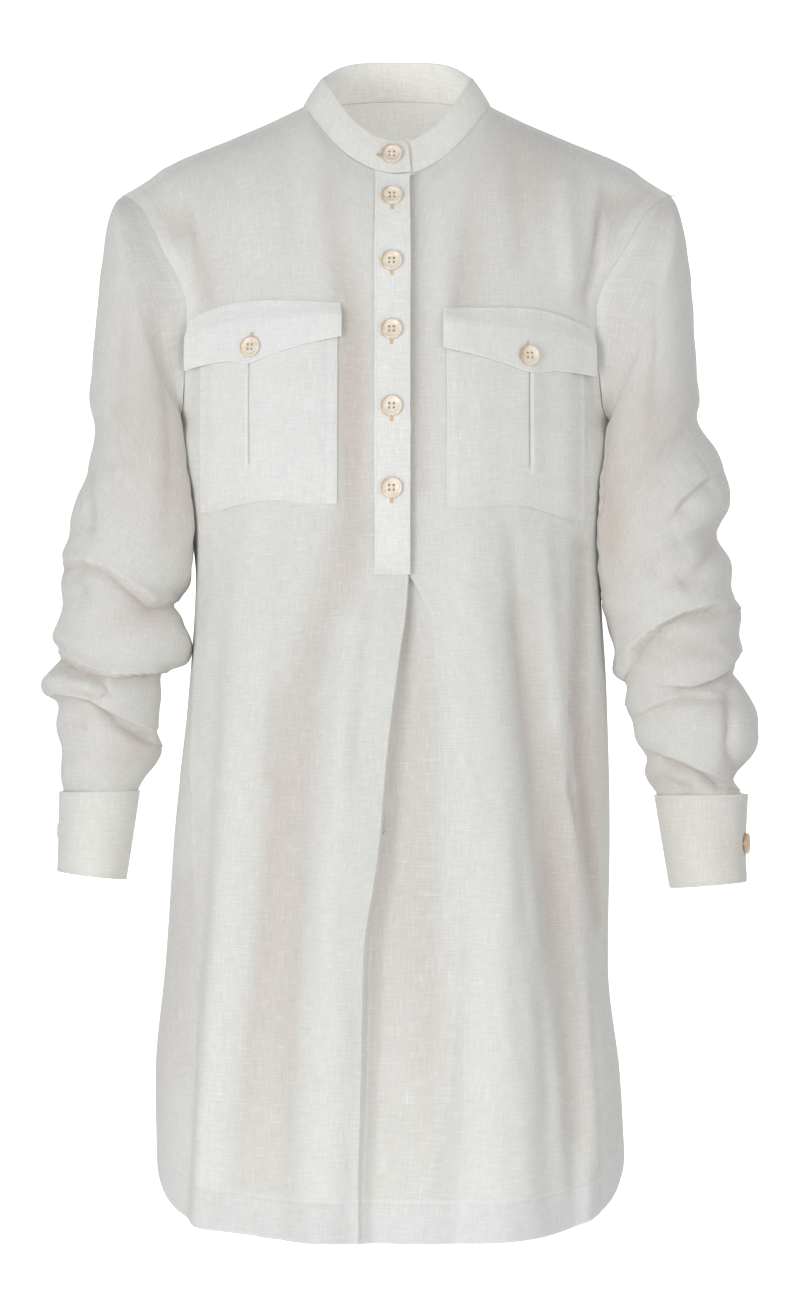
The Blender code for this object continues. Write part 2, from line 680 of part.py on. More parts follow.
def make_back(collection):
    """The back in one piece, from side seam to side seam."""
    neck = np.linspace(-NECK_SHARE, NECK_SHARE, BACK_NECK_COLUMNS)
    columns = np.concatenate([np.linspace(-1, -NECK_SHARE, 6), neck[1:-1], np.linspace(NECK_SHARE, 1, 6)])
    rows = np.concatenate([np.linspace(0, ARMPIT_LEVEL, 14), ARMHOLE_LEVELS[1:]])
    mesh = grid_mesh("back", columns, rows, lambda s, v: body(s, v, 1))
    face_out(mesh, BODY_MIDDLE)
    wall("back", mesh, CLOTH, LINEN, collection)
    make_hem_facing("back", len(columns), lambda i, v: body(columns[i.astype(int)], v, 1), rows[1], collection)


def make_hem_facing(name, count, place, next_level, collection):
    """The turned-up hem inside a panel, on the panel's own lowest row of faces. Its ends stop a little
    before the side seams."""
    def on_row(numbers, level):
        first = np.clip(np.floor(numbers), 0, count - 2)
        a, b = (place(first + k, np.full_like(numbers, level)) for k in (0, 1))
        return a + (b - a) * (numbers - first)[:, None]

    def inside(numbers, heights):
        low, high = on_row(numbers, 0.0), on_row(numbers, next_level)
        direction = (high - low) / np.linalg.norm(high - low, axis=1, keepdims=True)
        return low + direction * heights[:, None]

    numbers = np.concatenate([[0.2], np.arange(1, count - 1), [count - 1.2]])
    mesh = grid_mesh(f"hem_facing_{name}", numbers, np.array([HEM_EDGE, HEM_DEPTH]), inside)
    face_out(mesh, HEM_MIDDLE)
    move_out(mesh, -(CLOTH / 2 + 1.5 * SEAM + TURNED / 2))
    wall(f"hem_facing_{name}", mesh, TURNED, LINEN_DOUBLED, collection)


def move_out(mesh, distance):
    """Moves a sheet out along its own normals, evenly also where it bends."""
    bm = bmesh.new()
    bm.from_mesh(mesh)
    bm.normal_update()
    moves = [(v, v.normal * distance * MM * min(v.calc_shell_factor(), 1.6)) for v in bm.verts]
    for vertex, move in moves:
        vertex.co += move
    bm.to_mesh(mesh)
    bm.free()


def make_collar(collection):
    """The band, from its under end at the left front round the neck to the end that laps over."""
    start = [share_at(np.array([x]), np.array([1.0]))[0] for x in (SLIT_X, SLIT_X + SLIT_GAP)]
    right = start[0] + (-1 - start[0]) * neck_columns(-1, NECK_COLUMNS, SIDE_COLUMNS)[:NECK_COLUMNS]
    left = start[1] + (1 - start[1]) * neck_columns(1, NECK_COLUMNS, SIDE_COLUMNS)[:NECK_COLUMNS]
    to_right, to_left = right / NECK_SHARE * 90, left / NECK_SHARE * 90
    angles = np.concatenate([
        to_right[1::-1], to_left, 90 + np.linspace(0, 180, BACK_NECK_COLUMNS)[1:], 360 + to_right[::-1][1:],
        [BAND_OVER_END],
    ])

    def place(angle, height):
        turn = np.radians(angle)
        front = np.clip(np.cos(turn), 0, 1)
        back = np.clip(-np.cos(turn), 0, 1)
        base = np.stack([
            NECK_HALF_WIDTH * np.sin(turn),
            NECK_SIDE_Y + (NECK_FRONT_Y - NECK_SIDE_Y) * front + (NECK_BACK_Y - NECK_SIDE_Y) * back,
            NECK_FRONT_Z * front ** 2 + NECK_BACK_Z * back ** 2,
        ], axis=-1)
        top = np.stack([
            BAND_TOP_HALF_WIDTH * np.sin(turn),
            NECK_SIDE_Y + (BAND_TOP_FRONT_Y - NECK_SIDE_Y) * front + (BAND_TOP_BACK_Y - NECK_SIDE_Y) * back,
            BAND_TOP_SIDE_Z + (BAND_TOP_FRONT_Z - BAND_TOP_SIDE_Z) * front ** 2
            + (BAND_TOP_BACK_Z - BAND_TOP_SIDE_Z) * (1 - np.abs(np.sin(turn)) ** 4) * (back > 0),
        ], axis=-1)
        rise = (top - base) / np.linalg.norm(top - base, axis=1, keepdims=True)
        lap = LAP_RISE * smooth((angle - BAND_RAMP[0]) / (BAND_RAMP[1] - BAND_RAMP[0]))
        out = np.stack([np.sin(turn), -np.cos(turn), 0.35 * np.ones_like(turn)], axis=-1)
        out /= np.linalg.norm(out, axis=1, keepdims=True)
        base = base + rise * COLLAR_SEAM
        return base + (top - base) * height[:, None] + out * lap[:, None]

    mesh = grid_mesh("collar_band", angles, np.array([0, 0.5, 1.0]), place)
    face_out(mesh, (0, 0, 0))
    wall("collar_band", mesh, DOUBLED, LINEN_DOUBLED, collection)
    return mesh


def make_plackets(collection):
    """The placket that shows, over the right half's edge, and the one under it that the left half holds."""
    slit_level = float(level_of(np.array([PLACKET_END_Z]))[0])
    levels = np.concatenate([np.linspace(slit_level, ARMPIT_LEVEL, 4), ARMHOLE_LEVELS[1:-1], [0.993]])
    levels[0] += 0.003
    over_off = CLOTH / 2 + SEAM + 0.2 + DOUBLED / 2

    def strip(off):
        def place(x, level):
            s = share_at(x, level)
            return body(s, level, -1) + outward(panel, s, level, -1) * off
        return place

    sheets = []
    for name, right, left, off, thick, finish in (
        ("placket_top", PLACKET_RIGHT_X, PLACKET_LEFT_X, over_off, DOUBLED, LINEN_DOUBLED),
        ("placket_under", PLACKET_RIGHT_X, SLIT_X + SLIT_GAP - SEAM, -UNDERLAP_IN, CLOTH, LINEN),
    ):
        mesh = grid_mesh(name, np.linspace(right, left, 4), levels, strip(off))
        face_out(mesh, BEHIND_CHEST)
        wall(name, mesh, thick, finish, collection)
        sheets.append(mesh)
    return sheets[0]


def outline_place(edges, share, height):
    """x and z in an outline, at a share of its width and of its height from the bottom."""
    table = np.array(edges)
    knots = np.linspace(0, 1, len(table))
    x, top, bottom = (through(knots, table[:, k], share) for k in range(3))
    return x, bottom + (top - bottom) * height


def on_sheet(tree, x, z, off):
    """Points that the front view shows at x and z, moved out of the front's own sheet by off."""
    s, level = locate(x, z)
    lifts = outward(body, s, level, -1) * np.broadcast_to(off, np.shape(x))[:, None]
    points = []
    for place_x, place_z, lift in zip(x, z, lifts):
        hit = tree.ray_cast(Vector((place_x, FRONT_OF_ALL, place_z)) * MM, Vector((0, 1, 0)))[0]
        points.append(np.array(hit / MM) + lift)
    return np.array(points)


def make_pocket(side_name, pocket, flap, front, collection):
    """A patch pocket with a pleat down its middle, and the pointed flap over its mouth."""
    middle = 0.5

    def pocket_place(share, height):
        x, z = outline_place(pocket, share, height)
        edge = np.minimum.reduce([share, 1 - share, height * 1.4, (1 - height) * 2.5])
        swell = POCKET_SWELL * smooth(edge / 0.18)
        groove = 1.2 * np.exp(-(((share - middle) / 0.02) ** 2)) * smooth((height - 0.16) / 0.08)
        return on_sheet(front, x, z, POCKET_SEAT + swell - groove)

    def flap_place(share, height):
        x, z = outline_place(flap, share, height)
        return on_sheet(front, x, z, FLAP_SEAT + FLAP_LIFT * smooth((1 - height) / 0.42))

    shares = np.array([0, 0.1, 0.22, 0.34, 0.44, 0.48, 0.5, 0.52, 0.56, 0.66, 0.78, 0.9, 1])
    mesh = grid_mesh(f"pocket_{side_name}", shares, np.linspace(0, 1, 9), pocket_place)
    face_out(mesh, BEHIND_CHEST)
    wall(f"pocket_{side_name}", mesh, POCKET_CLOTH, LINEN_DOUBLED, collection)
    mesh = grid_mesh(f"flap_{side_name}", np.linspace(0, 1, 13), np.array([0, 0.3, 0.58, 0.8, 1.0]), flap_place)
    face_out(mesh, BEHIND_CHEST)
    wall(f"flap_{side_name}", mesh, POCKET_CLOTH, LINEN_DOUBLED, collection)
    x, z = flap[3].x, (flap[3].top + flap[3].bottom) / 2 - 11
    seat_button(f"button_flap_{side_name}", mesh, (x, FRONT_OF_ALL, z), (0, 1, 0), POCKET_CLOTH, collection)


def make_sleeve(side_name, side, rings, cuff_rings, cuff_turn, collection):
    """A sleeve in one piece, and its cuff, whose ends lap at the outer side, turned by cuff_turn."""
    angles = armhole_angles(side)
    along = np.concatenate([[0, 0.35, 0.7], np.arange(1, len(rings) + 0.01)])
    mesh = grid_mesh(f"sleeve_{side_name}", angles, along, lambda a, t: sleeve(side, rings, a % 360, t))
    close_tube(mesh)
    face_out(mesh, (side * ARM_MIDDLE[0], *ARM_MIDDLE[1:]))
    wall(f"sleeve_{side_name}", mesh, CLOTH, LINEN, collection)

    def cuff_place(angle, height):
        ring_table = np.array(cuff_rings)
        columns = [through([0, 1, 2], ring_table[:, k], height) for k in range(6)]
        points = []
        for index, turn in enumerate(angle):
            ring = Ring(*[column[index] for column in columns])
            point = sleeve_ring(ring, np.array([(turn + cuff_turn) % 360]))[0]
            middle = np.array([(ring.outer_x + ring.inner_x) / 2, ring.mid_y * 0.7, point[2]])
            away = (point - middle) / np.linalg.norm(point - middle)
            lap = LAP_RISE * (1 - smooth((turn - CUFF_UNDERLAP - 3) / 45))
            points.append(point + away * lap)
        return np.array(points)

    turns = np.concatenate([np.linspace(CUFF_OPENING, 90, 9), np.linspace(90, 360 + CUFF_UNDERLAP, 20)[1:]])
    mesh = grid_mesh(f"cuff_{side_name}", turns, np.array([0, 1, 2]), cuff_place)
    face_out(mesh, ((cuff_rings[1].outer_x + cuff_rings[1].inner_x) / 2, cuff_rings[1].mid_y, CUFF_MIDDLE_Z))
    wall(f"cuff_{side_name}", mesh, DOUBLED, LINEN_DOUBLED, collection)
    turn = np.array([CUFF_BUTTON])
    place = cuff_place(turn, np.array([1.0]))[0]
    middle = cuff_place(turn + 180, np.array([1.0]))[0]
    way = middle - place
    seat_button(f"button_cuff_{side_name}", mesh, place - way, way, DOUBLED, collection)


def button_mesh():
    """A turned button with a raised rim, its underside at the origin."""
    r, t = BUTTON_RADIUS, BUTTON_THICK
    profile = ((0, t * 0.62), (r * 0.52, t * 0.62), (r * 0.72, t), (r * 0.92, t * 0.86), (r, t * 0.5),
               (r * 0.8, 0), (0, 0))
    bm = bmesh.new()
    points = [bm.verts.new((x * MM, 0, z * MM)) for x, z in profile]
    for a, b in zip(points, points[1:]):
        bm.edges.new((a, b))
    mesh = bpy.data.meshes.new("button")
    bm.to_mesh(mesh)
    bm.free()
    return mesh


def seat_button(name, sheet, start, way, thick, collection):
    """A button on the sheet of a wall, where a line from start meets it."""
    tree = BVHTree.FromPolygons([v.co for v in sheet.vertices], [tuple(p.vertices) for p in sheet.polygons])
    way, start = Vector(way).normalized(), Vector(start) * MM
    across = way.orthogonal() * 0.85 * BUTTON_RADIUS * MM
    hit = tree.ray_cast(start, way)[0]
    rim = [tree.ray_cast(start + Matrix.Rotation(math.tau * k / 8, 3, way) @ across, way) for k in range(8)]
    rim = [(point, facing) for point, facing, _, _ in rim if point]
    normal = sum((facing if facing.dot(way) < 0 else -facing for _, facing in rim), Vector()).normalized()
    rise = max(0, *((point - hit).dot(normal) for point, _ in rim))
    piece = add(name, button_mesh(), BUTTON, collection)
    turn = piece.modifiers.new("turned", "SCREW")
    turn.steps = turn.render_steps = BUTTON_STEPS
    turn.use_merge_vertices = True
    turn.merge_threshold = 0.00001
    weld = piece.modifiers.new("weld", "WELD")
    weld.merge_threshold = 0.00001
    seat = hit + normal * (rise + (thick / 2 + BUTTON_GAP) * MM)
    piece.matrix_world = Matrix.Translation(seat) @ normal.to_track_quat("Z", "Y").to_matrix().to_4x4()


def make_buttons(band, placket, collection):
    """The buttons of the band and the placket."""
    for number, z in enumerate(PLACKET_BUTTON_Z, start=1):
        seat_button(f"button_placket_{number}", placket, (PLACKET_BUTTON_X, FRONT_OF_ALL, z), (0, 1, 0), DOUBLED,
                    collection)
    seat_button("button_collar", band, (PLACKET_BUTTON_X, FRONT_OF_ALL, COLLAR_BUTTON_Z), (0, 1, 0), DOUBLED, collection)


def main():
    for old in list(bpy.data.objects):
        bpy.data.objects.remove(old, do_unlink=True)
    garment = bpy.data.collections.new("blouse")
    bpy.context.scene.collection.children.link(garment)
    front = make_front(garment)
    make_back(garment)
    band = make_collar(garment)
    placket = make_plackets(garment)
    make_pocket("right", RIGHT_POCKET, RIGHT_FLAP, front, garment)
    make_pocket("left", LEFT_POCKET, LEFT_FLAP, front, garment)
    make_sleeve("right", -1, RIGHT_SLEEVE, RIGHT_CUFF, RIGHT_CUFF_TURN, garment)
    make_sleeve("left", 1, LEFT_SLEEVE, LEFT_CUFF, 0.0, garment)
    make_buttons(band, placket, garment)


main()
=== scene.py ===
"""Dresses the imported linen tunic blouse: the cloth, its folds and creases, the seams' stitching, the
buttonholes and the buttons, with a plain studio and the camera at the photograph's angle.

Tables and sizes are in millimetres and the meshes in metres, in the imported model's own frame: X runs to
the wearer's left arm, Y to the back and Z up, from midway between the shoulders' neck points. Right and
left are the wearer's.
"""

import json
import logging
import math
from contextlib import contextmanager
from dataclasses import dataclass, field
from enum import Enum
from typing import Callable, Iterator, NamedTuple, Sequence

import bpy
import numpy as np
from mathutils import Matrix, Vector
from mathutils.bvhtree import BVHTree
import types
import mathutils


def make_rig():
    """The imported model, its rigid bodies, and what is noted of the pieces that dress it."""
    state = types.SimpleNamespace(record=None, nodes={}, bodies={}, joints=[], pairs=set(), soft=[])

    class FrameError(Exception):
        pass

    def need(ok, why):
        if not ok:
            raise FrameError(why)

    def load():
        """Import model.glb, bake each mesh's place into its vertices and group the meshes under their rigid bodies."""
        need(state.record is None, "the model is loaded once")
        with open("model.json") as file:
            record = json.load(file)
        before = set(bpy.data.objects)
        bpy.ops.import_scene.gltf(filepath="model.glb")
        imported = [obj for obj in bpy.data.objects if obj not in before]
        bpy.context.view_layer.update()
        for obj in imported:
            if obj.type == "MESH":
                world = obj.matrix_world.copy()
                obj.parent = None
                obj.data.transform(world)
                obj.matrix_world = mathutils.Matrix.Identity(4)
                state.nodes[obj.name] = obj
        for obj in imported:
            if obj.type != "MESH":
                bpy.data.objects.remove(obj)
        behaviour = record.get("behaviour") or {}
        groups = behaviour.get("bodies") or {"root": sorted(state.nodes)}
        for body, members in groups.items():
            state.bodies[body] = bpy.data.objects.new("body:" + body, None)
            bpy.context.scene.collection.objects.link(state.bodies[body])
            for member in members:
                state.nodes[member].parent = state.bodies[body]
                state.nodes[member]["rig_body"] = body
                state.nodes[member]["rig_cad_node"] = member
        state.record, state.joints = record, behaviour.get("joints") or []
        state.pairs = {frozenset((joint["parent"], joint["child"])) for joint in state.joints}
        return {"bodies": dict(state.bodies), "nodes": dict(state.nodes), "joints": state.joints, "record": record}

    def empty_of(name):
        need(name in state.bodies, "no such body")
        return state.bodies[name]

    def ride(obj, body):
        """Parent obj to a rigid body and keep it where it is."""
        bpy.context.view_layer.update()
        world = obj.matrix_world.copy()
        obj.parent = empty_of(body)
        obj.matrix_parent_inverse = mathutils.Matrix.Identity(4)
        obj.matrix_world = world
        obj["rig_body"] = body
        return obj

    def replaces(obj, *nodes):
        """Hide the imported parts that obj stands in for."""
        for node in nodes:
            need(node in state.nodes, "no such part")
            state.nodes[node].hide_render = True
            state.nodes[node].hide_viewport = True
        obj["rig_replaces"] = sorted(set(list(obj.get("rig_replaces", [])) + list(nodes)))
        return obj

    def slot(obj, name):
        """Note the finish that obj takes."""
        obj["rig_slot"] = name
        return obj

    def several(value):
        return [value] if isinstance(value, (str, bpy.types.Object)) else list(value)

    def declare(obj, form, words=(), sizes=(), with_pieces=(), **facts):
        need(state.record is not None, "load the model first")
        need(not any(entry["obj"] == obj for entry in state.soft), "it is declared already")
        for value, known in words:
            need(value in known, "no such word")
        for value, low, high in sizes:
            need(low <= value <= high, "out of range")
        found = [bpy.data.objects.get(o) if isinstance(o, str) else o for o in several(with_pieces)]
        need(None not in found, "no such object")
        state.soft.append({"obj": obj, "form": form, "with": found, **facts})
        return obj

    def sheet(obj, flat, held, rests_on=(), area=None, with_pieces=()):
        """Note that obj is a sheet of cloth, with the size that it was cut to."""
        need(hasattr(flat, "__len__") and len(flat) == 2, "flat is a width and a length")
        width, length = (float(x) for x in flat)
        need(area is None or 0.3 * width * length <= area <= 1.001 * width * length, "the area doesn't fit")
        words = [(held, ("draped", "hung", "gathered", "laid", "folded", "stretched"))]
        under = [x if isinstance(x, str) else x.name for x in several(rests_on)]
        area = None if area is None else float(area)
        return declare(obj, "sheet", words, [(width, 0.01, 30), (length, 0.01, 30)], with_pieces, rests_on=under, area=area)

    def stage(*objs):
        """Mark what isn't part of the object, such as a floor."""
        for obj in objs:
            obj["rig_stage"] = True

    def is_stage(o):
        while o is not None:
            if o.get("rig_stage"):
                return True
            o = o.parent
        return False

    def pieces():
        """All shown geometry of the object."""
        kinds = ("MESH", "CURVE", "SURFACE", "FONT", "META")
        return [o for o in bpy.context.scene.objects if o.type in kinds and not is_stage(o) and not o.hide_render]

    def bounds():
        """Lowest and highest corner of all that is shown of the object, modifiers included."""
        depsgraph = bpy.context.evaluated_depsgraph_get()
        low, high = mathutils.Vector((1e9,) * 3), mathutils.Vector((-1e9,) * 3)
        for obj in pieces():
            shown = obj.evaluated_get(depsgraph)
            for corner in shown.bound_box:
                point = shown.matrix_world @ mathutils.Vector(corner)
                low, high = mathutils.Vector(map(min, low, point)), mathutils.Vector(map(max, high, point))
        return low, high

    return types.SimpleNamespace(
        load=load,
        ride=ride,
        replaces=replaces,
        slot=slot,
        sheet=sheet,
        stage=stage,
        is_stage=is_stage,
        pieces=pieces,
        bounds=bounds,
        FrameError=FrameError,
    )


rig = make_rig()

MM = 0.001
LOG = logging.getLogger("blouse")
TO_BACK, UP = np.array([0.0, 1.0, 0.0]), np.array([0.0, 0.0, 1.0])
# The lines that look for the cloth start this far in front of it
AHEAD_Y = -400
# The stitches' middles lie this far off the cloth's face
THREAD_LIFT = 0.05
# Seam allowances make the cloth this much denser
SEAM_DOUBLING = 0.35
# Waves in one soft unevenness
WAVES = 18
Colour = tuple[float, float, float, float]


class Side(Enum):
    """The wearer's side that a piece is on."""

    RIGHT = -1
    LEFT = 1

    @property
    def word(self) -> str:
        """The side's name in the nodes' names."""
        return self.name.lower()


class Face(Enum):
    """The side of the body that a panel covers."""

    FRONT = -1
    BACK = 1


class Section(NamedTuple):
    """A ring of the body: its half widths at the side seams, its depths and heights in mm, and the
    angles in degrees that are left of 90 where an armhole cuts a panel short."""

    level: float
    side_z: float
    right: float
    left: float
    front_z: float
    front_depth: float
    back_z: float
    back_depth: float
    front_turn: float
    back_turn: float

    def faced(self, face: Face) -> tuple[float, float, float]:
        """A face's depth, its middle's height, and its angle in radians."""
        if face is Face.FRONT:
            return self.front_depth, self.front_z, math.radians(self.front_turn)
        return self.back_depth, self.back_z, math.radians(self.back_turn)


class Fold(NamedTuple):
    """A soft fold of a panel, seen from its own side: where it starts and ends, how far it rises there
    (less than 0 is a trough), how wide it is, and how round its top is (2 is soft, 1 a sharp crest)."""

    x_top: float
    z_top: float
    rise_top: float
    x_low: float
    z_low: float
    rise_low: float
    width: float
    power: float = 2.0


class Pleat(NamedTuple):
    """The pleat at one height: its pressed edge, how far it folds back under, how deep it is, and where
    the left half of the front comes up to the surface again."""

    z: float
    edge_x: float
    under: float
    deep: float
    rise_x: float


class Bend(NamedTuple):
    """A column across the pleat: how far it is along the fold back, along the way to the far side and
    down, as shares."""

    back: float
    far: float
    deep: float


class Ring(NamedTuple):
    """A ring of a sleeve by its outermost and innermost points in the front view, its half depth and
    the place of its middle from front to back."""

    outer_x: float
    outer_z: float
    inner_x: float
    inner_z: float
    depth: float
    mid_y: float


class Crease(NamedTuple):
    """A crease of a sleeve: the side it shows on, how far the cloth sinks along it and how far the cloth
    above stands over it (0 is a plain trough), how wide it is, and its line in the front view."""

    face: Face
    deep: float
    over: float
    width: float
    line: tuple[tuple[float, float], ...]


class Patch(NamedTuple):
    """A patch of painted shade in the front view: its middle, its reach each way and its strength."""

    x: float
    z: float
    reach_x: float
    reach_z: float
    share: float


class Edge(NamedTuple):
    """A column of a pocket's or flap's outline in the front view."""

    x: float
    top: float
    bottom: float


SECTIONS = (
    Section(0.000, -816, 187, 177, -876, 134, -886, 128, 90, 90),
    Section(0.100, -755, 188, 173.5, -786, 132, -790, 126, 90, 90),
    Section(0.220, -666, 180, 164, -678, 129, -679, 120, 90, 90),
    Section(0.340, -565, 173, 165.5, -569, 126, -569, 112, 90, 90),
    Section(0.460, -458, 162, 163, -460, 125, -460, 105, 90, 90),
    Section(0.560, -367, 156.5, 158.5, -368, 127, -367, 104, 90, 90),
    Section(0.630, -310, 166, 165, -309, 128, -309, 107, 90, 90),
    Section(0.685, -266, 177, 173, -263, 126, -263, 110, 90, 90),
    Section(0.722, -236, 177, 170, -232, 121, -231, 112, 68.5, 77),
    Section(0.757, -203, 177, 168, -201, 114, -199, 113, 67.5, 72),
    Section(0.793, -165, 178, 168, -165, 105, -163, 111, 66, 71),
)
SHOULDER_STEPS = ((0.880, 0.40), (0.948, 0.75), (1.000, 1.00))
ARMPIT_LEVEL = 0.685
SHOULDER_X = (72, 100, 133, 167, 183, 193, 204, 213)
SHOULDER_Z = (0, -13.5, -27.5, -41, -49, -57, -64, -69)

FRONT_FOLDS = (
    Fold(-55, -55, -1.5, -37, -160, -4.5, 13),
    Fold(-37, -160, -4.5, -33, -330, -4.0, 13),
    Fold(-33, -330, -4.0, -76, -470, -5.0, 20),
    Fold(-76, -470, -5.0, -110, -880, -8.0, 28),
    Fold(-112, -335, 2.0, -122, -560, 6.0, 24),
    Fold(-122, -560, 6.0, -146, -860, 8.0, 24),
    Fold(-38, -410, 3.0, -54, -640, 5.0, 18),
    Fold(-54, -640, 5.0, -60, -880, 6.0, 20),
    Fold(-152, -560, -1.6, -172, -840, -0.6, 16),
    Fold(65, -35, -1.5, 52, -155, -3.0, 13),
    Fold(128, -68, 2.0, 132, -135, 3.0, 15),
    Fold(168, -75, -3.0, 146, -150, -3.0, 10),
    Fold(-176, -88, -3.0, -146, -150, -2.5, 12),
    Fold(62, -345, 2.0, 74, -600, 7.0, 25),
    Fold(74, -600, 7.0, 82, -880, 9.0, 28),
    Fold(94, -400, -3.0, 124, -600, -6.0, 18),
    Fold(124, -600, -6.0, 138, -800, -4.0, 18),
    Fold(142, -350, -5.0, 141, -470, -8.0, 11),
    Fold(141, -470, -8.0, 155, -630, -5.0, 11),
)
BACK_FOLDS = (
    Fold(-20, -120, 2.0, -34, -480, 8.0, 28),
    Fold(-34, -480, 8.0, -44, -890, 12.0, 32),
    Fold(40, -160, -2.0, 24, -520, -7.0, 24),
    Fold(24, -520, -7.0, 14, -890, -9.0, 26),
    Fold(88, -180, 2.0, 84, -540, 7.0, 26),
    Fold(84, -540, 7.0, 78, -890, 10.0, 28),
    Fold(-92, -220, -3.0, -104, -560, -8.0, 24),
    Fold(-104, -560, -8.0, -112, -890, -9.0, 28),
    Fold(128, -330, -4.0, 132, -800, -8.0, 18),
    Fold(-140, -360, 3.0, -152, -800, 6.0, 18),
)
# Smaller folds, which only the dressed cloth has
FRONT_DETAIL = (
    Fold(-92, -330, -0.8, -100, -520, -1.6, 8, 1.6),
    Fold(-150, -330, 1.0, -158, -520, 1.6, 8),
    Fold(-20, -385, -1.2, -32, -520, -1.8, 7, 1.6),
    Fold(-76, -600, -1.0, -92, -880, -2.2, 10, 1.6),
    Fold(-96, -700, 1.2, -106, -885, 2.2, 12),
    Fold(-30, -700, -1.0, -38, -886, -2.2, 9, 1.6),
    Fold(18, -62, -1.2, 22, -300, -1.6, 6, 1.6),
    Fold(30, -60, 0.9, 36, -170, 1.2, 9),
    Fold(88, -30, -1.0, 96, -120, -1.4, 9, 1.6),
    Fold(-90, -25, -0.8, -84, -110, -1.2, 9, 1.6),
    Fold(-120, -45, 0.9, -112, -120, 1.0, 12),
    Fold(156, -86, -1.8, 153, -155, -0.6, 6, 1.6),
    Fold(-160, -98, -1.6, -154, -150, -0.4, 6, 1.6),
    Fold(46, -380, 1.0, 52, -560, 1.4, 9),
    Fold(98, -640, 1.0, 108, -880, 2.2, 12),
    Fold(52, -650, -1.0, 46, -886, -2.0, 9, 1.6),
    Fold(112, -340, 1.0, 124, -480, 1.6, 9),
    Fold(-164, -600, -1.2, -172, -760, -0.6, 7, 1.6),
    Fold(139, -440, -2.0, 136, -530, -3.8, 5),
    Fold(136, -530, -3.8, 154, -640, -2.0, 5),
    Fold(88, -335, -1.5, 97, -470, -3.0, 9),
    Fold(97, -470, -3.0, 115, -655, -2.0, 10),
)
BACK_DETAIL = (
    Fold(-60, -30, -1.2, -66, -170, -1.6, 10, 1.6),
    Fold(60, -32, -1.0, 70, -180, -1.6, 10, 1.6),
    Fold(-120, -90, 1.2, -110, -240, 1.8, 14),
    Fold(118, -88, 1.2, 112, -250, 1.8, 14),
    Fold(-8, -200, -0.9, 2, -430, -1.6, 9, 1.6),
    Fold(-66, -420, -1.2, -78, -880, -2.6, 10, 1.6),
    Fold(52, -440, 1.0, 50, -885, 2.4, 11),
    Fold(110, -420, -1.2, 112, -880, -2.4, 10, 1.6),
    Fold(-12, -560, -1.0, -16, -888, -2.4, 10, 1.6),
    Fold(-134, -500, -1.0, -142, -860, -2.0, 9, 1.6),
    Fold(-160, -100, -1.6, -150, -230, -1.8, 8, 1.6),
    Fold(160, -100, -1.6, 150, -230, -1.8, 8, 1.6),
)
FOLDS = {Face.FRONT: FRONT_FOLDS + FRONT_DETAIL, Face.BACK: BACK_FOLDS + BACK_DETAIL}

PLEAT = (
    Pleat(-368, 8, 15, 5.5, 10.5),
    Pleat(-396, 6, 12, 9, 27),
    Pleat(-430, 1, 9, 13, 37),
    Pleat(-500, -8, 5, 17, 44),
    Pleat(-580, -15, 2, 18, 46),
    Pleat(-660, -26, 0.5, 17, 46),
    Pleat(-760, -28, 0, 15, 38),
    Pleat(-840, -30, 0, 12, 22),
    Pleat(-890, -30, 0, 11, 16),
)
PLEAT_BENDS = (
    Bend(0, 0, 0), Bend(-0.03, 0.02, 0.28), Bend(0.42, 0.05, 0.46), Bend(0.96, 0.08, 0.50),
    Bend(1.0, 0.14, 0.78), Bend(0.45, 0.26, 1.0), Bend(0, 0.58, 0.72), Bend(0, 1, 0),
)

RIGHT_SLEEVE = (
    Ring(-221, -80, -158, -268, 54, -8),
    Ring(-228, -112, -153, -277, 61, -10),
    Ring(-233, -159, -150.5, -290, 65, -12),
    Ring(-237, -206, -149.5, -307, 66, -14),
    Ring(-239, -231, -150, -322, 65, -15),
    Ring(-234.5, -254, -151, -336, 62, -16),
    Ring(-241.5, -286, -155, -354, 62, -17),
    Ring(-251.5, -316, -162, -372, 61, -18),
    Ring(-254.5, -338, -172, -387, 54, -19),
    Ring(-260, -362, -166, -400, 60, -20),
    Ring(-260.5, -393, -161, -415, 61, -21),
    Ring(-266, -413, -163, -433, 57, -22),
    Ring(-260.5, -425, -178, -441, 48, -23),
    Ring(-273, -447, -184.5, -462, 52, -24),
    Ring(-272, -458, -187, -474, 50, -25),
    Ring(-264.5, -466, -188.5, -486, 44, -25),
    Ring(-263.5, -480, -181.5, -500, 48, -26),
    Ring(-261, -500, -187, -512, 45, -26),
    Ring(-260, -520, -196, -523, 41, -27),
    Ring(-259.7, -533, -199.5, -532, 38.6, -27),
)
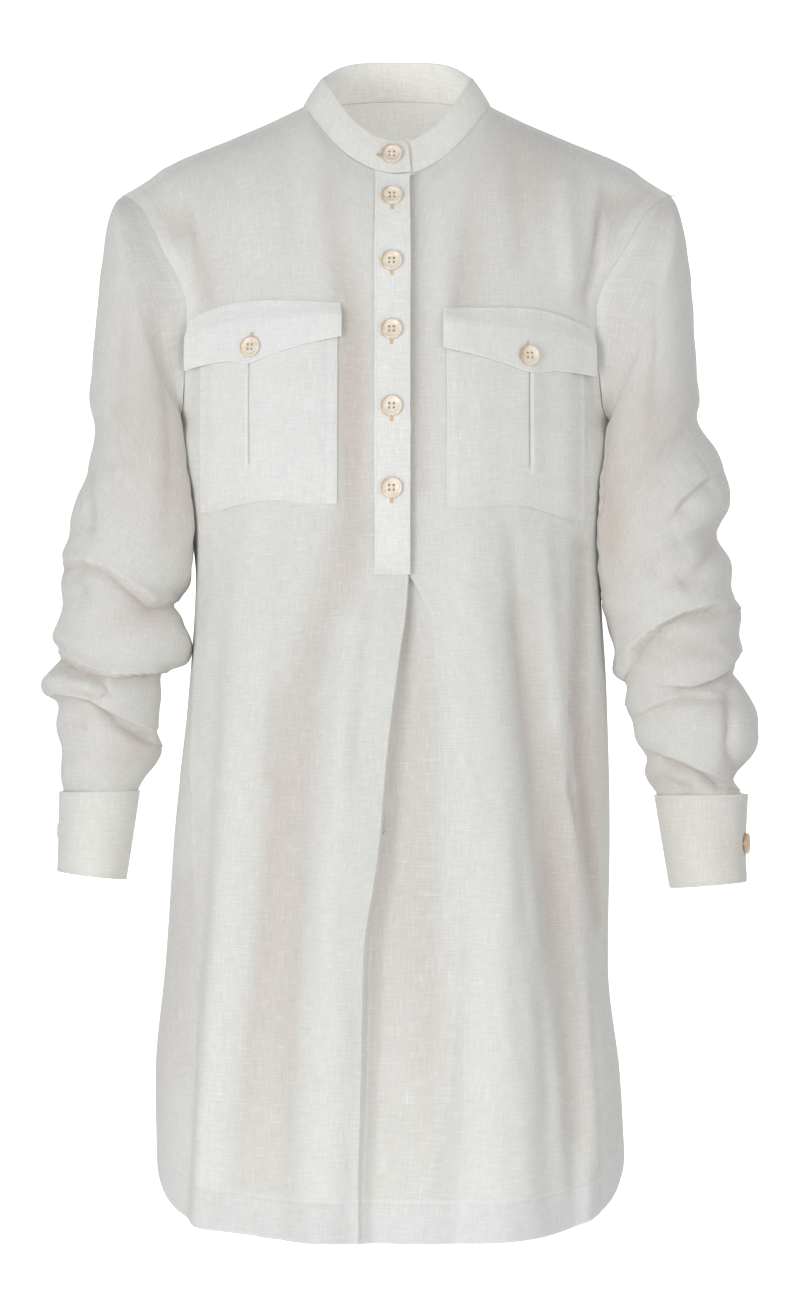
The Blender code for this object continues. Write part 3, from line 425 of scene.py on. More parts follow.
LEFT_SLEEVE = (
    Ring(218.5, -82, 156, -268, 54, -8),
    Ring(226, -116, 150, -278, 61, -10),
    Ring(230, -160, 147, -291, 65, -12),
    Ring(232.5, -205, 145, -308, 66, -14),
    Ring(235, -230, 145, -323, 64, -15),
    Ring(233.5, -247, 146, -336, 60, -16),
    Ring(247, -269, 148, -350, 62, -17),
    Ring(257, -292, 151.5, -363, 63, -18),
    Ring(258, -311, 155, -376, 61, -19),
    Ring(249.5, -330, 159.5, -391, 54, -20),
    Ring(258.5, -354, 165, -408, 60, -20),
    Ring(259, -378, 170, -424, 54, -21),
    Ring(267.5, -395, 169.5, -441, 57, -22),
    Ring(265, -413.5, 176.5, -450, 49, -23),
    Ring(267, -427, 178, -459, 52, -24),
    Ring(263, -443, 179, -469, 46, -24),
    Ring(275, -463, 183, -481, 51, -25),
    Ring(280.5, -484, 186, -495, 52, -26),
    Ring(276, -505, 193, -508, 48, -26),
    Ring(261, -522, 193.5, -521, 41, -27),
    Ring(269, -534.5, 199.8, -535.5, 39.5, -27),
)
RIGHT_CUFF = (
    Ring(-259.6, -534.2, -200, -533.2, 38.5, -27),
    Ring(-260, -565, -205, -567, 39, -28),
    Ring(-261, -596, -210.4, -602, 39.5, -29),
)
LEFT_CUFF = (
    Ring(269, -535.7, 200.1, -536.7, 39.4, -27),
    Ring(267.2, -574, 206.5, -576, 39.5, -28),
    Ring(268, -603.7, 212, -608.5, 40, -29),
)

RIGHT_CREASES = (
    Crease(Face.FRONT, 4.5, 2.6, 8,
           ((-262, -360), (-241, -357), (-223, -363), (-205, -375), (-188, -388), (-172, -388))),
    Crease(Face.FRONT, 4.5, 3.0, 7,
           ((-264, -427), (-249, -435), (-236, -441), (-216, -445), (-193, -443), (-176, -440))),
    Crease(Face.FRONT, 5.0, 2.2, 7,
           ((-262, -459), (-248, -461), (-236, -464), (-211, -478), (-192, -489), (-183, -498))),
    Crease(Face.FRONT, -3.2, 0, 7, ((-271, -449), (-255, -449), (-240, -451), (-229, -455))),
    Crease(Face.FRONT, 2.6, 0, 3, ((-246, -457), (-230, -462), (-222, -457), (-226, -448), (-238, -443))),
    Crease(Face.FRONT, 2.4, 0, 4, ((-239, -280), (-237, -312), (-235, -336))),
    Crease(Face.FRONT, 2.0, 0, 5, ((-255, -366), (-247, -373), (-240, -381))),
    Crease(Face.FRONT, 1.6, 0, 4, ((-254, -484), (-240, -481))),
    Crease(Face.FRONT, 1.6, 0, 9, ((-204, -110), (-212, -180), (-216, -250))),
    Crease(Face.FRONT, 2.2, 0, 8, ((-184, -150), (-178, -210), (-172, -280), (-178, -340))),
    Crease(Face.BACK, 4.5, 2.4, 8, ((-262, -352), (-236, -358), (-206, -366), (-186, -384), (-168, -388))),
    Crease(Face.BACK, 4.5, 2.6, 7, ((-264, -428), (-238, -436), (-210, -434), (-176, -444))),
    Crease(Face.BACK, 4.5, 2.2, 7, ((-262, -462), (-236, -470), (-210, -474), (-184, -490))),
    Crease(Face.BACK, 2.4, 0, 5, ((-250, -392), (-218, -400), (-190, -410))),
    Crease(Face.BACK, 2.0, 0, 5, ((-258, -500), (-230, -505))),
    Crease(Face.BACK, 2.2, 0, 8, ((-196, -130), (-206, -200), (-214, -280))),
)
LEFT_CREASES = (
    Crease(Face.FRONT, 5.0, 2.4, 7,
           ((262, -392), (244, -391), (222, -396), (205, -404), (191, -415), (182, -426), (178, -440))),
    Crease(Face.FRONT, 4.0, 2.4, 7, ((266, -427), (255, -438), (241, -448), (227, -453), (210, -452))),
    Crease(Face.FRONT, 3.0, 1.2, 6, ((190, -472), (208, -464), (230, -459), (250, -460))),
    Crease(Face.FRONT, 4.5, 1.8, 6, ((200, -504), (219, -511), (236, -519), (258, -529))),
    Crease(Face.FRONT, 3.4, 0, 5, ((258, -450), (256, -471), (255, -495), (260, -522))),
    Crease(Face.FRONT, 2.8, 1.4, 8, ((243, -290), (234, -296), (221, -307), (212, -318))),
    Crease(Face.FRONT, 3.0, 0, 7, ((253, -332), (241, -352), (229, -367), (214, -376))),
    Crease(Face.FRONT, 1.6, 0, 10, ((222, -340), (204, -352), (190, -362))),
    Crease(Face.FRONT, 1.8, 0, 6, ((200, -521), (214, -528), (230, -533))),
    Crease(Face.FRONT, 1.8, 0, 9, ((196, -120), (200, -190), (196, -250))),
    Crease(Face.FRONT, 2.4, 0, 8, ((172, -160), (162, -220), (156, -290), (160, -340))),
    Crease(Face.BACK, 4.5, 2.2, 8, ((262, -384), (236, -392), (206, -404), (180, -426))),
    Crease(Face.BACK, 4.0, 2.0, 7, ((266, -440), (240, -446), (212, -456), (182, -466))),
    Crease(Face.BACK, 3.5, 1.4, 8, ((250, -330), (222, -340), (192, -358), (164, -382))),
    Crease(Face.BACK, 4.0, 1.8, 6, ((262, -524), (236, -516), (202, -508))),
    Crease(Face.BACK, 3.0, 0, 6, ((270, -478), (246, -486), (214, -488))),
    Crease(Face.BACK, 2.2, 0, 8, ((196, -130), (204, -200), (210, -270))),
)

# Painted shade on the sleeves' inner sides, where they turn away beside the body
RIGHT_PATCHES = (
    Patch(-192, -240, 26, 62, 0.60), Patch(-168, -300, 12, 50, 0.60), Patch(-200, -396, 28, 18, 0.55),
    Patch(-204, -502, 22, 16, 0.45),
)
LEFT_PATCHES = (
    Patch(189, -262, 24, 66, 0.65), Patch(164, -320, 14, 52, 0.85), Patch(220, -422, 24, 16, 0.55),
    Patch(214, -522, 22, 12, 0.50), Patch(201, -80, 14, 26, 0.50),
)
# Painted shade beside the placket, in the body's valleys and pleat recess, and where the body turns from the light
BODY_PATCHES = (
    Patch(108, -58, 26, 44, 0.50), Patch(152, -210, 10, 60, 0.60), Patch(-34, -250, 12, 90, 0.35),
    Patch(14, -200, 4, 130, 0.60), Patch(60, -140, 18, 50, 0.25), Patch(-146, -120, 14, 40, 0.30),
    Patch(26, -745, 12, 110, 0.60), Patch(142, -560, 10, 90, 0.35),
)

# The column of a flap's outline where its point is
FLAP_POINT = 3
RIGHT_FLAP = (
    Edge(-44, -159.5, -186), Edge(-72, -158, -193), Edge(-93, -157, -199), Edge(-111.5, -157.5, -206),
    Edge(-128, -159.5, -204), Edge(-144, -164, -206), Edge(-159.5, -171, -209.5),
)
LEFT_FLAP = (
    Edge(35.5, -164, -195), Edge(60, -163.5, -201), Edge(82, -163, -207.5), Edge(100.6, -163.5, -213.5),
    Edge(118, -166, -212), Edge(135, -172, -213), Edge(149, -178, -214.5),
)
RIGHT_POCKET = (
    Edge(-46, -170, -313), Edge(-70, -170, -312.5), Edge(-93, -170, -310), Edge(-111.5, -171, -312),
    Edge(-127, -173, -315), Edge(-139, -177, -318), Edge(-150, -182, -318),
)
LEFT_POCKET = (
    Edge(38, -175, -316), Edge(60, -175, -316.5), Edge(80, -175, -314), Edge(100, -176, -315),
    Edge(116, -179, -320), Edge(130, -184, -324), Edge(143, -190, -325),
)


class Sock:
    """An output socket whose arithmetic adds Math nodes."""

    def __init__(self, graph: "Graph", socket: bpy.types.NodeSocket) -> None:
        """Wraps a socket of a graph."""
        self.graph = graph
        self.socket = socket

    def _math(self, operation: str, first: "Sock | float", second: "Sock | float") -> "Sock":
        """Adds a Math node of two values."""
        return self.graph.node("ShaderNodeMath", {"operation": operation}, {0: first, 1: second}).out()

    def __add__(self, other: "Sock | float") -> "Sock":
        """The sum."""
        return self._math("ADD", self, other)

    def __sub__(self, other: "Sock | float") -> "Sock":
        """The difference."""
        return self._math("SUBTRACT", self, other)

    def __rsub__(self, other: "Sock | float") -> "Sock":
        """The difference from a number."""
        return self._math("SUBTRACT", other, self)

    def __mul__(self, other: "Sock | float") -> "Sock":
        """The product."""
        return self._math("MULTIPLY", self, other)

    __radd__ = __add__
    __rmul__ = __mul__


class Added:
    """A node that was added to a graph."""

    def __init__(self, graph: "Graph", node: bpy.types.Node) -> None:
        """Wraps a node of a graph."""
        self.graph = graph
        self.node = node

    def out(self, name: str | int = 0) -> Sock:
        """One of its outputs."""
        return Sock(self.graph, self.node.outputs[name])


class Graph:
    """The nodes of one material."""

    def __init__(self, name: str) -> None:
        """Starts a material with a Principled shader."""
        self.material = bpy.data.materials.new(name)
        self.material.use_nodes = True
        self.tree = self.material.node_tree
        self.shader = self.tree.nodes["Principled BSDF"]

    def node(self, kind: str, settings: dict | None = None, inputs: dict | None = None) -> Added:
        """Adds a node.

        Args:
            kind: the node's type.
            settings: its own settings, set before its sockets.
            inputs: values or links of its sockets, by name or number.

        Returns:
            The node, whose outputs are read with out().
        """
        made = self.tree.nodes.new(kind)
        for key, value in (settings or {}).items():
            setattr(made, key, value)
        for key, value in (inputs or {}).items():
            self.feed(made.inputs[key], value)
        return Added(self, made)

    def feed(self, socket: bpy.types.NodeSocket, value: "Sock | float | tuple") -> None:
        """Links a socket, or sets its value."""
        if isinstance(value, Sock):
            self.tree.links.new(value.socket, socket)
        else:
            socket.default_value = value

    def noise(self, place: Sock, scale: float, detail: float = 2.0, rough: float = 0.5) -> Sock:
        """Soft noise from 0 to 1 over a place."""
        inputs = {"Vector": place, "Scale": scale, "Detail": detail, "Roughness": rough}
        return self.node("ShaderNodeTexNoise", {}, inputs).out(0)

    def stretch(self, place: Sock, x: float, y: float, z: float = 1.0) -> Sock:
        """A place with its axes multiplied."""
        return self.node("ShaderNodeVectorMath", {"operation": "MULTIPLY"}, {0: place, 1: (x, y, z)}).out()

    def ramp(self, value: Sock, low: float, high: float) -> Sock:
        """A soft step from 0 at low to 1 at high."""
        settings = {"interpolation_type": "SMOOTHSTEP"}
        return self.node("ShaderNodeMapRange", settings, {0: value, 1: low, 2: high, 3: 0.0, 4: 1.0}).out()

    def mix(self, share: Sock, first: "Sock | tuple", second: "Sock | tuple") -> Sock:
        """A colour between two colours."""
        inputs = {0: share, 6: first, 7: second}
        return self.node("ShaderNodeMix", {"data_type": "RGBA"}, inputs).out(2)

    def attribute(self, name: str) -> Sock:
        """A value that the mesh carries."""
        return self.node("ShaderNodeAttribute", {"attribute_name": name}).out("Fac")

    def place(self) -> Sock:
        """A point's place on its object."""
        return self.node("ShaderNodeTexCoord").out("Object")

    def bump(self, height: Sock, strength: float, distance: float) -> Sock:
        """The normal of a surface with a height."""
        inputs = {"Strength": strength, "Distance": distance, "Height": height}
        return self.node("ShaderNodeBump", {}, inputs).out()

    def shaded(self, inputs: dict) -> bpy.types.Material:
        """Feeds the Principled shader's inputs by their names, and returns the material."""
        for name, value in inputs.items():
            self.feed(self.shader.inputs[name], value)
        return self.material


@dataclass(frozen=True)
class LinenFinish:
    """Plain woven linen with slubs, painted highlights on its crests and painted shade in its valleys and recesses."""

    name: str
    # Cloth that lies once: its own colour, darkened in part as painted shade of the dim inside seen through it
    single: Colour = (0.742, 0.737, 0.703, 1)
    # Cloth that lies twice; the same colour also paints highlights on fold crests and painted light on one side of the
    # hem band
    doubled: Colour = (0.850, 0.846, 0.816, 1)
    # Painted shade, darker and browner, for valleys, creases, recesses and sides turned away from the light
    warm: Colour = (0.630, 0.575, 0.535, 1)
    weft_scale: tuple[float, float] = (70, 820)
    warp_scale: tuple[float, float] = (820, 60)
    fine_scale: tuple[float, float] = (240, 900)
    cloud_scale: float = 30.0
    streak: float = 0.22
    fine_contrast: float = 0.07
    cloud_contrast: float = 0.06
    slub: float = 0.32
    roughness: float = 0.9
    sheen: float = 0.10
    see_through: float = 0.6
    bump_height: float = 0.0004

    def make(self) -> bpy.types.Material:
        """The linen's material, which follows the sheet's own UV map, in metres of cloth."""
        g = Graph(self.name)
        place = g.node("ShaderNodeUVMap", {"uv_map": "UVMap"}).out()
        weft, warp = (g.noise(g.stretch(place, *scale), 1.0, 2.0, 0.6)
                      for scale in (self.weft_scale, self.warp_scale))
        along, across = (g.noise(g.stretch(place, *scale), 1.0, 2.0)
                         for scale in (self.fine_scale, self.fine_scale[::-1]))
        fine = along + across
        cloudy = g.noise(place, self.cloud_scale, 3.0)
        slubs = g.ramp(weft, 0.60, 0.76) + g.ramp(warp, 0.61, 0.77)
        # Painted shade where the mesh's mark asks for it
        colour = g.mix(g.attribute("warmth"), self.single, self.warm)
        # Brighter where the cloth lies twice, at slubs, and where the mesh's mark paints a highlight
        colour = g.mix(g.attribute("layers") + slubs * self.slub, colour, self.doubled)
        value = (1.0 + (weft + warp - 1.0) * self.streak + (fine - 1.0) * self.fine_contrast
                 + (cloudy - 0.5) * self.cloud_contrast)
        bright = g.node("ShaderNodeCombineXYZ", {}, {0: value, 1: value, 2: value}).out()
        shown = g.node("ShaderNodeVectorMath", {"operation": "MULTIPLY"}, {0: colour, 1: bright}).out()
        return g.shaded({
            "Base Color": shown,
            "Roughness": self.roughness - slubs * 0.05,
            "Normal": g.bump((weft + warp) * 0.6 + fine * 0.4, 0.6, self.bump_height),
            "Subsurface Weight": self.see_through,
            "Subsurface Radius": (1.0, 0.9, 0.8),
            "Subsurface Scale": 0.003,
            "Sheen Weight": self.sheen,
            "Sheen Roughness": 0.6,
            "Specular IOR Level": 0.2,
        })


@dataclass(frozen=True)
class ThreadFinish:
    """Twisted sewing thread."""

    name: str
    colour: Colour
    dark: Colour
    twist_scale: float = 2600
    roughness: float = 0.6

    def make(self) -> bpy.types.Material:
        """The thread's material, with its twist as fine bands."""
        g = Graph(self.name)
        place = g.place()
        twist = g.noise(g.stretch(place, *[self.twist_scale] * 3), 1.0, 1.0)
        share = g.ramp(twist * 0.6 + g.noise(place, 90.0, 2.0) * 0.4, 0.3, 0.7)
        return g.shaded({"Base Color": g.mix(share, self.dark, self.colour),
                         "Normal": g.bump(twist, 0.4, 0.0001), "Roughness": self.roughness})


@dataclass(frozen=True)
class ButtonFinish:
    """Cream horn-like plastic, darker and more amber towards the rim."""

    name: str
    centre: Colour = (0.78, 0.68, 0.54, 1)
    clouds: Colour = (0.87, 0.81, 0.72, 1)
    rim: Colour = (0.52, 0.32, 0.15, 1)
    roughness: float = 0.28
    coat: float = 0.35

    def make(self) -> bpy.types.Material:
        """The buttons' material, which reads how far out a point lies from the mesh."""
        g = Graph(self.name)
        place = g.place()
        clouds = g.noise(g.stretch(place, 1, 1, 2.2), 130.0, 4.0, 0.6)
        streaks = g.noise(g.stretch(place, 1, 1, 6), 60.0, 3.0, 0.55)
        body = g.mix(g.ramp(clouds, 0.38, 0.66), self.centre, self.clouds)
        edge = g.ramp(g.attribute("rim") + (streaks - 0.5) * 0.4, 0.86, 1.25)
        return g.shaded({"Base Color": g.mix(edge * 0.85, body, self.rim),
                         "Roughness": self.roughness + clouds * 0.12,
                         "Normal": g.bump(clouds, 0.15, 0.0001),
                         "Coat Weight": self.coat, "Coat Roughness": 0.15})


@dataclass(frozen=True)
class FloorFinish:
    """Plain pale floor paint with a faint unevenness."""

    name: str
    pale: Colour = (0.80, 0.80, 0.79, 1)
    paler: Colour = (0.84, 0.84, 0.83, 1)

    def make(self) -> bpy.types.Material:
        """The floor's material."""
        g = Graph(self.name)
        return g.shaded({"Base Color": g.mix(g.noise(g.place(), 3.0, 4.0), self.pale, self.paler),
                         "Roughness": 0.8})


def smooth(t: np.ndarray) -> np.ndarray:
    """A soft step from 0 to 1."""
    t = np.clip(t, 0, 1)
    return t * t * (3 - 2 * t)


def within(run: np.ndarray, reach: float, edge: float = 2.0) -> np.ndarray:
    """1 up to a reach and 0 past it, with a soft edge."""
    return 1 - smooth((run - reach) / edge)


def run_along(points: np.ndarray, axis: int = 0) -> np.ndarray:
    """How far along one axis of a line or grid each point lies, from 0 at its start."""
    steps = np.linalg.norm(np.diff(points, axis=axis), axis=-1)
    return np.concatenate([np.zeros_like(np.take(steps, [0], axis)), np.cumsum(steps, axis)], axis)


def stretches(ends: Sequence[float], counts: Sequence[int]) -> np.ndarray:
    """Even places along stretches that meet end to end; each count has both of a stretch's ends."""
    parts = [np.linspace(a, b, count) for a, b, count in zip(ends, ends[1:], counts)]
    return np.concatenate([parts[0], *(part[1:] for part in parts[1:])])


def pairs(across: np.ndarray, up: np.ndarray) -> list[np.ndarray]:
    """Every place across with every place up, row by row, as two flat lists."""
    return [places.ravel() for places in np.meshgrid(across, up)]


def through(knots: np.ndarray, values: np.ndarray, at: np.ndarray, level_off: bool = False) -> np.ndarray:
    """A smooth curve through values at the knots.

    Args:
        knots: where the values lie, rising.
        values: one number, point or row of points for each knot.
        at: where the curve is read.
        level_off: keeps the curve from passing its knots.

    Returns:
        The curve's value at each place.
    """
    knots, values, at = (np.asarray(x, float) for x in (knots, values, at))
    slopes = np.gradient(values, knots, axis=0)
    if level_off:
        rises = np.diff(values, axis=0) / np.diff(knots).reshape(-1, *[1] * (values.ndim - 1))
        before, after = rises[:-1], rises[1:]
        same = before * after > 0
        slopes[1:-1] = np.where(same, 2 * before * after / np.where(same, before + after, 1), 0)
    i = np.clip(np.searchsorted(knots, at) - 1, 0, len(knots) - 2)
    span = knots[i + 1] - knots[i]
    t = np.clip((at - knots[i]) / span, 0, 1)
    if values.ndim == 3:
        each = np.arange(len(at))
        ends = values[i, each], values[i + 1, each]
        turns = slopes[i, each], slopes[i + 1, each]
        t, span = t[:, None], span[:, None]
    else:
        ends = values[i], values[i + 1]
        turns = slopes[i], slopes[i + 1]
    t2, t3 = t * t, t * t * t
    return (
        (2 * t3 - 3 * t2 + 1) * ends[0]
        + (t3 - 2 * t2 + t) * span * turns[0]
        + (3 * t2 - 2 * t3) * ends[1]
        + (t3 - t2) * span * turns[1]
    )


def off_line(places: np.ndarray, line: np.ndarray) -> tuple[np.ndarray, np.ndarray]:
    """How far places lie from a line of several points.

    Args:
        places: points of a view, one a row.
        line: the line's points.

    Returns:
        The distance from the line, less than 0 below it, and how far along it, from 0 to 1, the nearest
        point lies.
    """
    best = np.full(len(places), 1e9)
    share = np.zeros(len(places))
    steps = np.linalg.norm(np.diff(line, axis=0), axis=1)
    start = 0.0
    for a, b, step in zip(line, line[1:], steps):
        way = (b - a) / step
        above = np.array([-way[1], way[0]]) * (1 if way[0] >= 0 else -1)
        t = np.clip((places - a) @ way, 0, step)
        off = np.linalg.norm(places - a - t[:, None] * way, axis=1)
        nearer = off < np.abs(best)
        best = np.where(nearer, off * np.where((places - a) @ above < 0, -1, 1), best)
        share = np.where(nearer, (start + t) / steps.sum(), share)
        start += step
    return best, share


def warmed(points: np.ndarray, patches: tuple[Patch, ...]) -> np.ndarray:
    """How much painted shade the patches put on the cloth at points, from 0 to about 1."""
    total = np.zeros(points.shape[:-1])
    for p in patches:
        far = ((points[..., 0] - p.x) / p.reach_x) ** 2 + ((points[..., 2] - p.z) / p.reach_z) ** 2
        total += p.share * np.exp(-far)
    return total


def wander(u: np.ndarray, v: np.ndarray, seed: int, lengths: tuple[float, float], lean: float) -> np.ndarray:
    """Soft unevenness of about -1 to 1, made of many long waves.

    Args:
        u: place across, in mm.
        v: place along, in mm.
        seed: which waves are drawn.
        lengths: the shortest and longest wave, in mm.
        lean: how much shorter the waves are across than along.

    Returns:
        The unevenness at each place.
    """
    rng = np.random.default_rng(seed)
    total = np.zeros(np.shape(u))
    for _ in range(WAVES):
        length = rng.uniform(*lengths)
        turn, phase = rng.uniform(-1, 1), rng.uniform(0, 2 * math.pi)
        wave_u, wave_v = 2 * math.pi / length, 2 * math.pi / length / lean * turn
        total += np.sin(u * wave_u + v * wave_v + phase + np.sin(v / (length * 2.2) + phase) * 0.9)
    return total / math.sqrt(WAVES)


def deselect() -> None:
    """Deselects everything, because an operator acts on all that is selected."""
    for shown in bpy.context.selected_objects:
        shown.select_set(False)


def pick(piece: bpy.types.Object) -> None:
    """Selects one object alone."""
    deselect()
    piece.select_set(True)
    bpy.context.view_layer.objects.active = piece


def link(name: str, data: bpy.types.ID) -> bpy.types.Object:
    """Adds an object of a mesh, a lamp or a camera to the scene."""
    made = bpy.data.objects.new(name, data)
    bpy.context.scene.collection.objects.link(made)
    return made


def discard(piece: bpy.types.Object) -> None:
    """Removes an object and its mesh."""
    mesh = piece.data
    bpy.data.objects.remove(piece)
    bpy.data.meshes.remove(mesh)


@contextmanager
def editing() -> Iterator[None]:
    """Edits the active object's mesh for a while."""
    bpy.ops.object.mode_set(mode="EDIT")
    yield
    bpy.ops.object.mode_set(mode="OBJECT")


def read(mesh: bpy.types.Mesh, items: str, name: str, width: int) -> np.ndarray:
    """Measures of all of a mesh's vertices or polygons."""
    found = getattr(mesh, items)
    values = np.zeros(len(found) * width)
    found.foreach_get(name, values)
    return values.reshape(-1, width) if width > 1 else values


def mark(mesh: bpy.types.Mesh, name: str, values: np.ndarray) -> None:
    """Gives a mesh a value at each vertex, which its finish reads."""
    mesh.attributes.new(name, "FLOAT", "POINT").data.foreach_set("value", values.astype(np.float32))


@dataclass
class Sheet:
    """A grid of cloth: rows and columns of points in mm, the cloth's own coordinates in metres, and
    the marks that its finish reads."""

    name: str
    points: np.ndarray
    inside: tuple[float, float, float]
    marks: dict[str, np.ndarray] = field(default_factory=dict)
    gone: np.ndarray | None = None
    closed: bool = False

    def __post_init__(self) -> None:
        """Works out the cloth's coordinates."""
        u, v = run_along(self.points, 1).mean(axis=0), run_along(self.points).mean(axis=1)
        self.cloth = np.stack(np.meshgrid(u, v), axis=-1) * MM

    def normals(self) -> np.ndarray:
        """Unit vectors out of the sheet at each point."""
        across, up = np.gradient(self.points, axis=1), np.gradient(self.points, axis=0)
        n = np.cross(across, up)
        n /= np.maximum(np.linalg.norm(n, axis=2, keepdims=True), 1e-9)
        away = self.points - np.array(self.inside)
        return n if (n * away).sum() >= 0 else -n

    def shell(self, thick: float, finish: bpy.types.Material) -> bpy.types.Object:
        """Makes the sheet a piece of cloth with its thickness on both sides.

        Args:
            thick: the cloth's thickness in mm.
            finish: its material.

        Returns:
            The finished piece.
        """
        rows, columns = self.points.shape[:2]
        deselect()
        bpy.ops.mesh.primitive_grid_add(x_subdivisions=columns - 1, y_subdivisions=rows - 1, size=2)
        piece = bpy.context.object
        piece.name = piece.data.name = self.name
        mesh = piece.data
        flat = read(mesh, "vertices", "co", 3)
        i = np.rint((flat[:, 0] + 1) / 2 * (columns - 1)).astype(int)
        j = np.rint((flat[:, 1] + 1) / 2 * (rows - 1)).astype(int)
        mesh.vertices.foreach_set("co", (self.points[j, i] * MM).astype(np.float32).ravel())
        corner = np.zeros(len(mesh.loops), np.int32)
        mesh.loops.foreach_get("vertex_index", corner)
        mesh.uv_layers[0].name = "UVMap"
        mesh.uv_layers[0].data.foreach_set("uv", self.cloth[j[corner], i[corner]].astype(np.float32).ravel())
        # Marks of cloth that lies twice with painted highlights, and of painted shade
        for name in ("layers", "warmth"):
            mark(mesh, name, self.marks.get(name, np.zeros((rows, columns)))[j, i])
        if self.gone is not None:
            self._cut(mesh, i, j)
        self._face_out(piece)
        pick(piece)
        wall = piece.modifiers.new("thickness", "SOLIDIFY")
        wall.thickness, wall.offset, wall.use_even_offset = thick * MM, 0, True
        wall.thickness_clamp = 0
        bpy.ops.object.modifier_apply(modifier=wall.name)
        bpy.ops.object.shade_smooth_by_angle(angle=math.radians(50))
        mesh.materials.clear()
        mesh.materials.append(finish)
        return piece

    def _cut(self, mesh: bpy.types.Mesh, i: np.ndarray, j: np.ndarray) -> None:
        """Takes out the cells that are marked as gone."""
        centres = [(min(i[k] for k in p.vertices), min(j[k] for k in p.vertices)) for p in mesh.polygons]
        chosen = np.array([self.gone[row, column] for column, row in centres])
        with editing():
            bpy.ops.mesh.select_mode(type="FACE")
        mesh.polygons.foreach_set("select", chosen)
        with editing():
            bpy.ops.mesh.delete(type="FACE")
            bpy.ops.mesh.select_mode(type="VERT")

    def _face_out(self, piece: bpy.types.Object) -> None:
        """Closes a tube, and turns the faces out of the garment."""
        with editing():
            bpy.ops.mesh.select_all(action="SELECT")
            if self.closed:
                bpy.ops.mesh.remove_doubles(threshold=0.02 * MM)
            bpy.ops.mesh.normals_make_consistent(inside=False)
        mesh = piece.data
        centre, normal = read(mesh, "polygons", "center", 3), read(mesh, "polygons", "normal", 3)
        away = centre - np.array(self.inside) * MM
        if (away * normal).sum(axis=1) @ read(mesh, "polygons", "area", 1) < 0:
            with editing():
                bpy.ops.mesh.flip_normals()

    def at(self, rows: np.ndarray, columns: np.ndarray, off: float = 0.0) -> tuple[np.ndarray, np.ndarray]:
        """Points between the grid's own ones.

        Args:
            rows: places along the rows, in rows.
            columns: places along the columns, in columns.
            off: how far out of the sheet the points lie, in mm.

        Returns:
            The points, and the unit vectors out of the sheet there.
        """
        high, wide = self.points.shape[:2]
        r, c = np.clip(rows, 0, high - 1.001), np.clip(columns, 0, wide - 1.001)
        j, i = np.floor(r).astype(int), np.floor(c).astype(int)
        fr, fc = (r - j)[:, None], (c - i)[:, None]

        def read_at(grid: np.ndarray) -> np.ndarray:
            """One grid between its points."""
            low = grid[j, i] * (1 - fc) + grid[j, i + 1] * fc
            top = grid[j + 1, i] * (1 - fc) + grid[j + 1, i + 1] * fc
            return low * (1 - fr) + top * fr

        out = read_at(self.normals())
        out /= np.linalg.norm(out, axis=1, keepdims=True)
        return read_at(self.points) + out * off, out


class Ground:
    """A finished sheet that other pieces are laid on, met along a line."""

    def __init__(self, sheet: Sheet) -> None:
        """Takes the sheet's cells, apart from those that are cut out."""
        self.points = sheet.points.reshape(-1, 3)
        self.out = sheet.normals().reshape(-1, 3)
        rows, columns = sheet.points.shape[:2]
        j, i = np.meshgrid(np.arange(rows - 1), np.arange(columns - 1), indexing="ij")
        kept = np.ones(j.shape, bool) if sheet.gone is None else ~sheet.gone
        first = (j * columns + i)[kept]
        self.cells = np.stack([first, first + 1, first + columns + 1, first + columns], axis=1)
        self.tree = BVHTree.FromPolygons(self.points.tolist(), self.cells.tolist())

    def met(self, start: np.ndarray, way: np.ndarray) -> tuple[np.ndarray, np.ndarray]:
        """Where a line from a point first meets the sheet, and the way out of it there."""
        hit, _, cell, _ = self.tree.ray_cast(Vector(start), Vector(way))
        if hit is None:
            raise ValueError(f"no cloth in front of {start}")
        hit = np.array(hit)
        corners = self.cells[cell]
        near = 1 / (np.linalg.norm(self.points[corners] - hit, axis=1) + 0.05)
        out = (self.out[corners] * near[:, None]).sum(axis=0)
        return hit, out / np.linalg.norm(out)

    def front(self, x: np.ndarray, z: np.ndarray, off: np.ndarray) -> np.ndarray:
        """Points that the front view shows at x and z, lifted off the sheet."""
        made = np.zeros((len(x), 3))
        for k, (place_x, place_z, lift) in enumerate(zip(x, z, np.broadcast_to(off, np.shape(x)))):
            hit, out = self.met(np.array([place_x, AHEAD_Y, place_z]), TO_BACK)
            made[k] = hit + out * lift
        return made


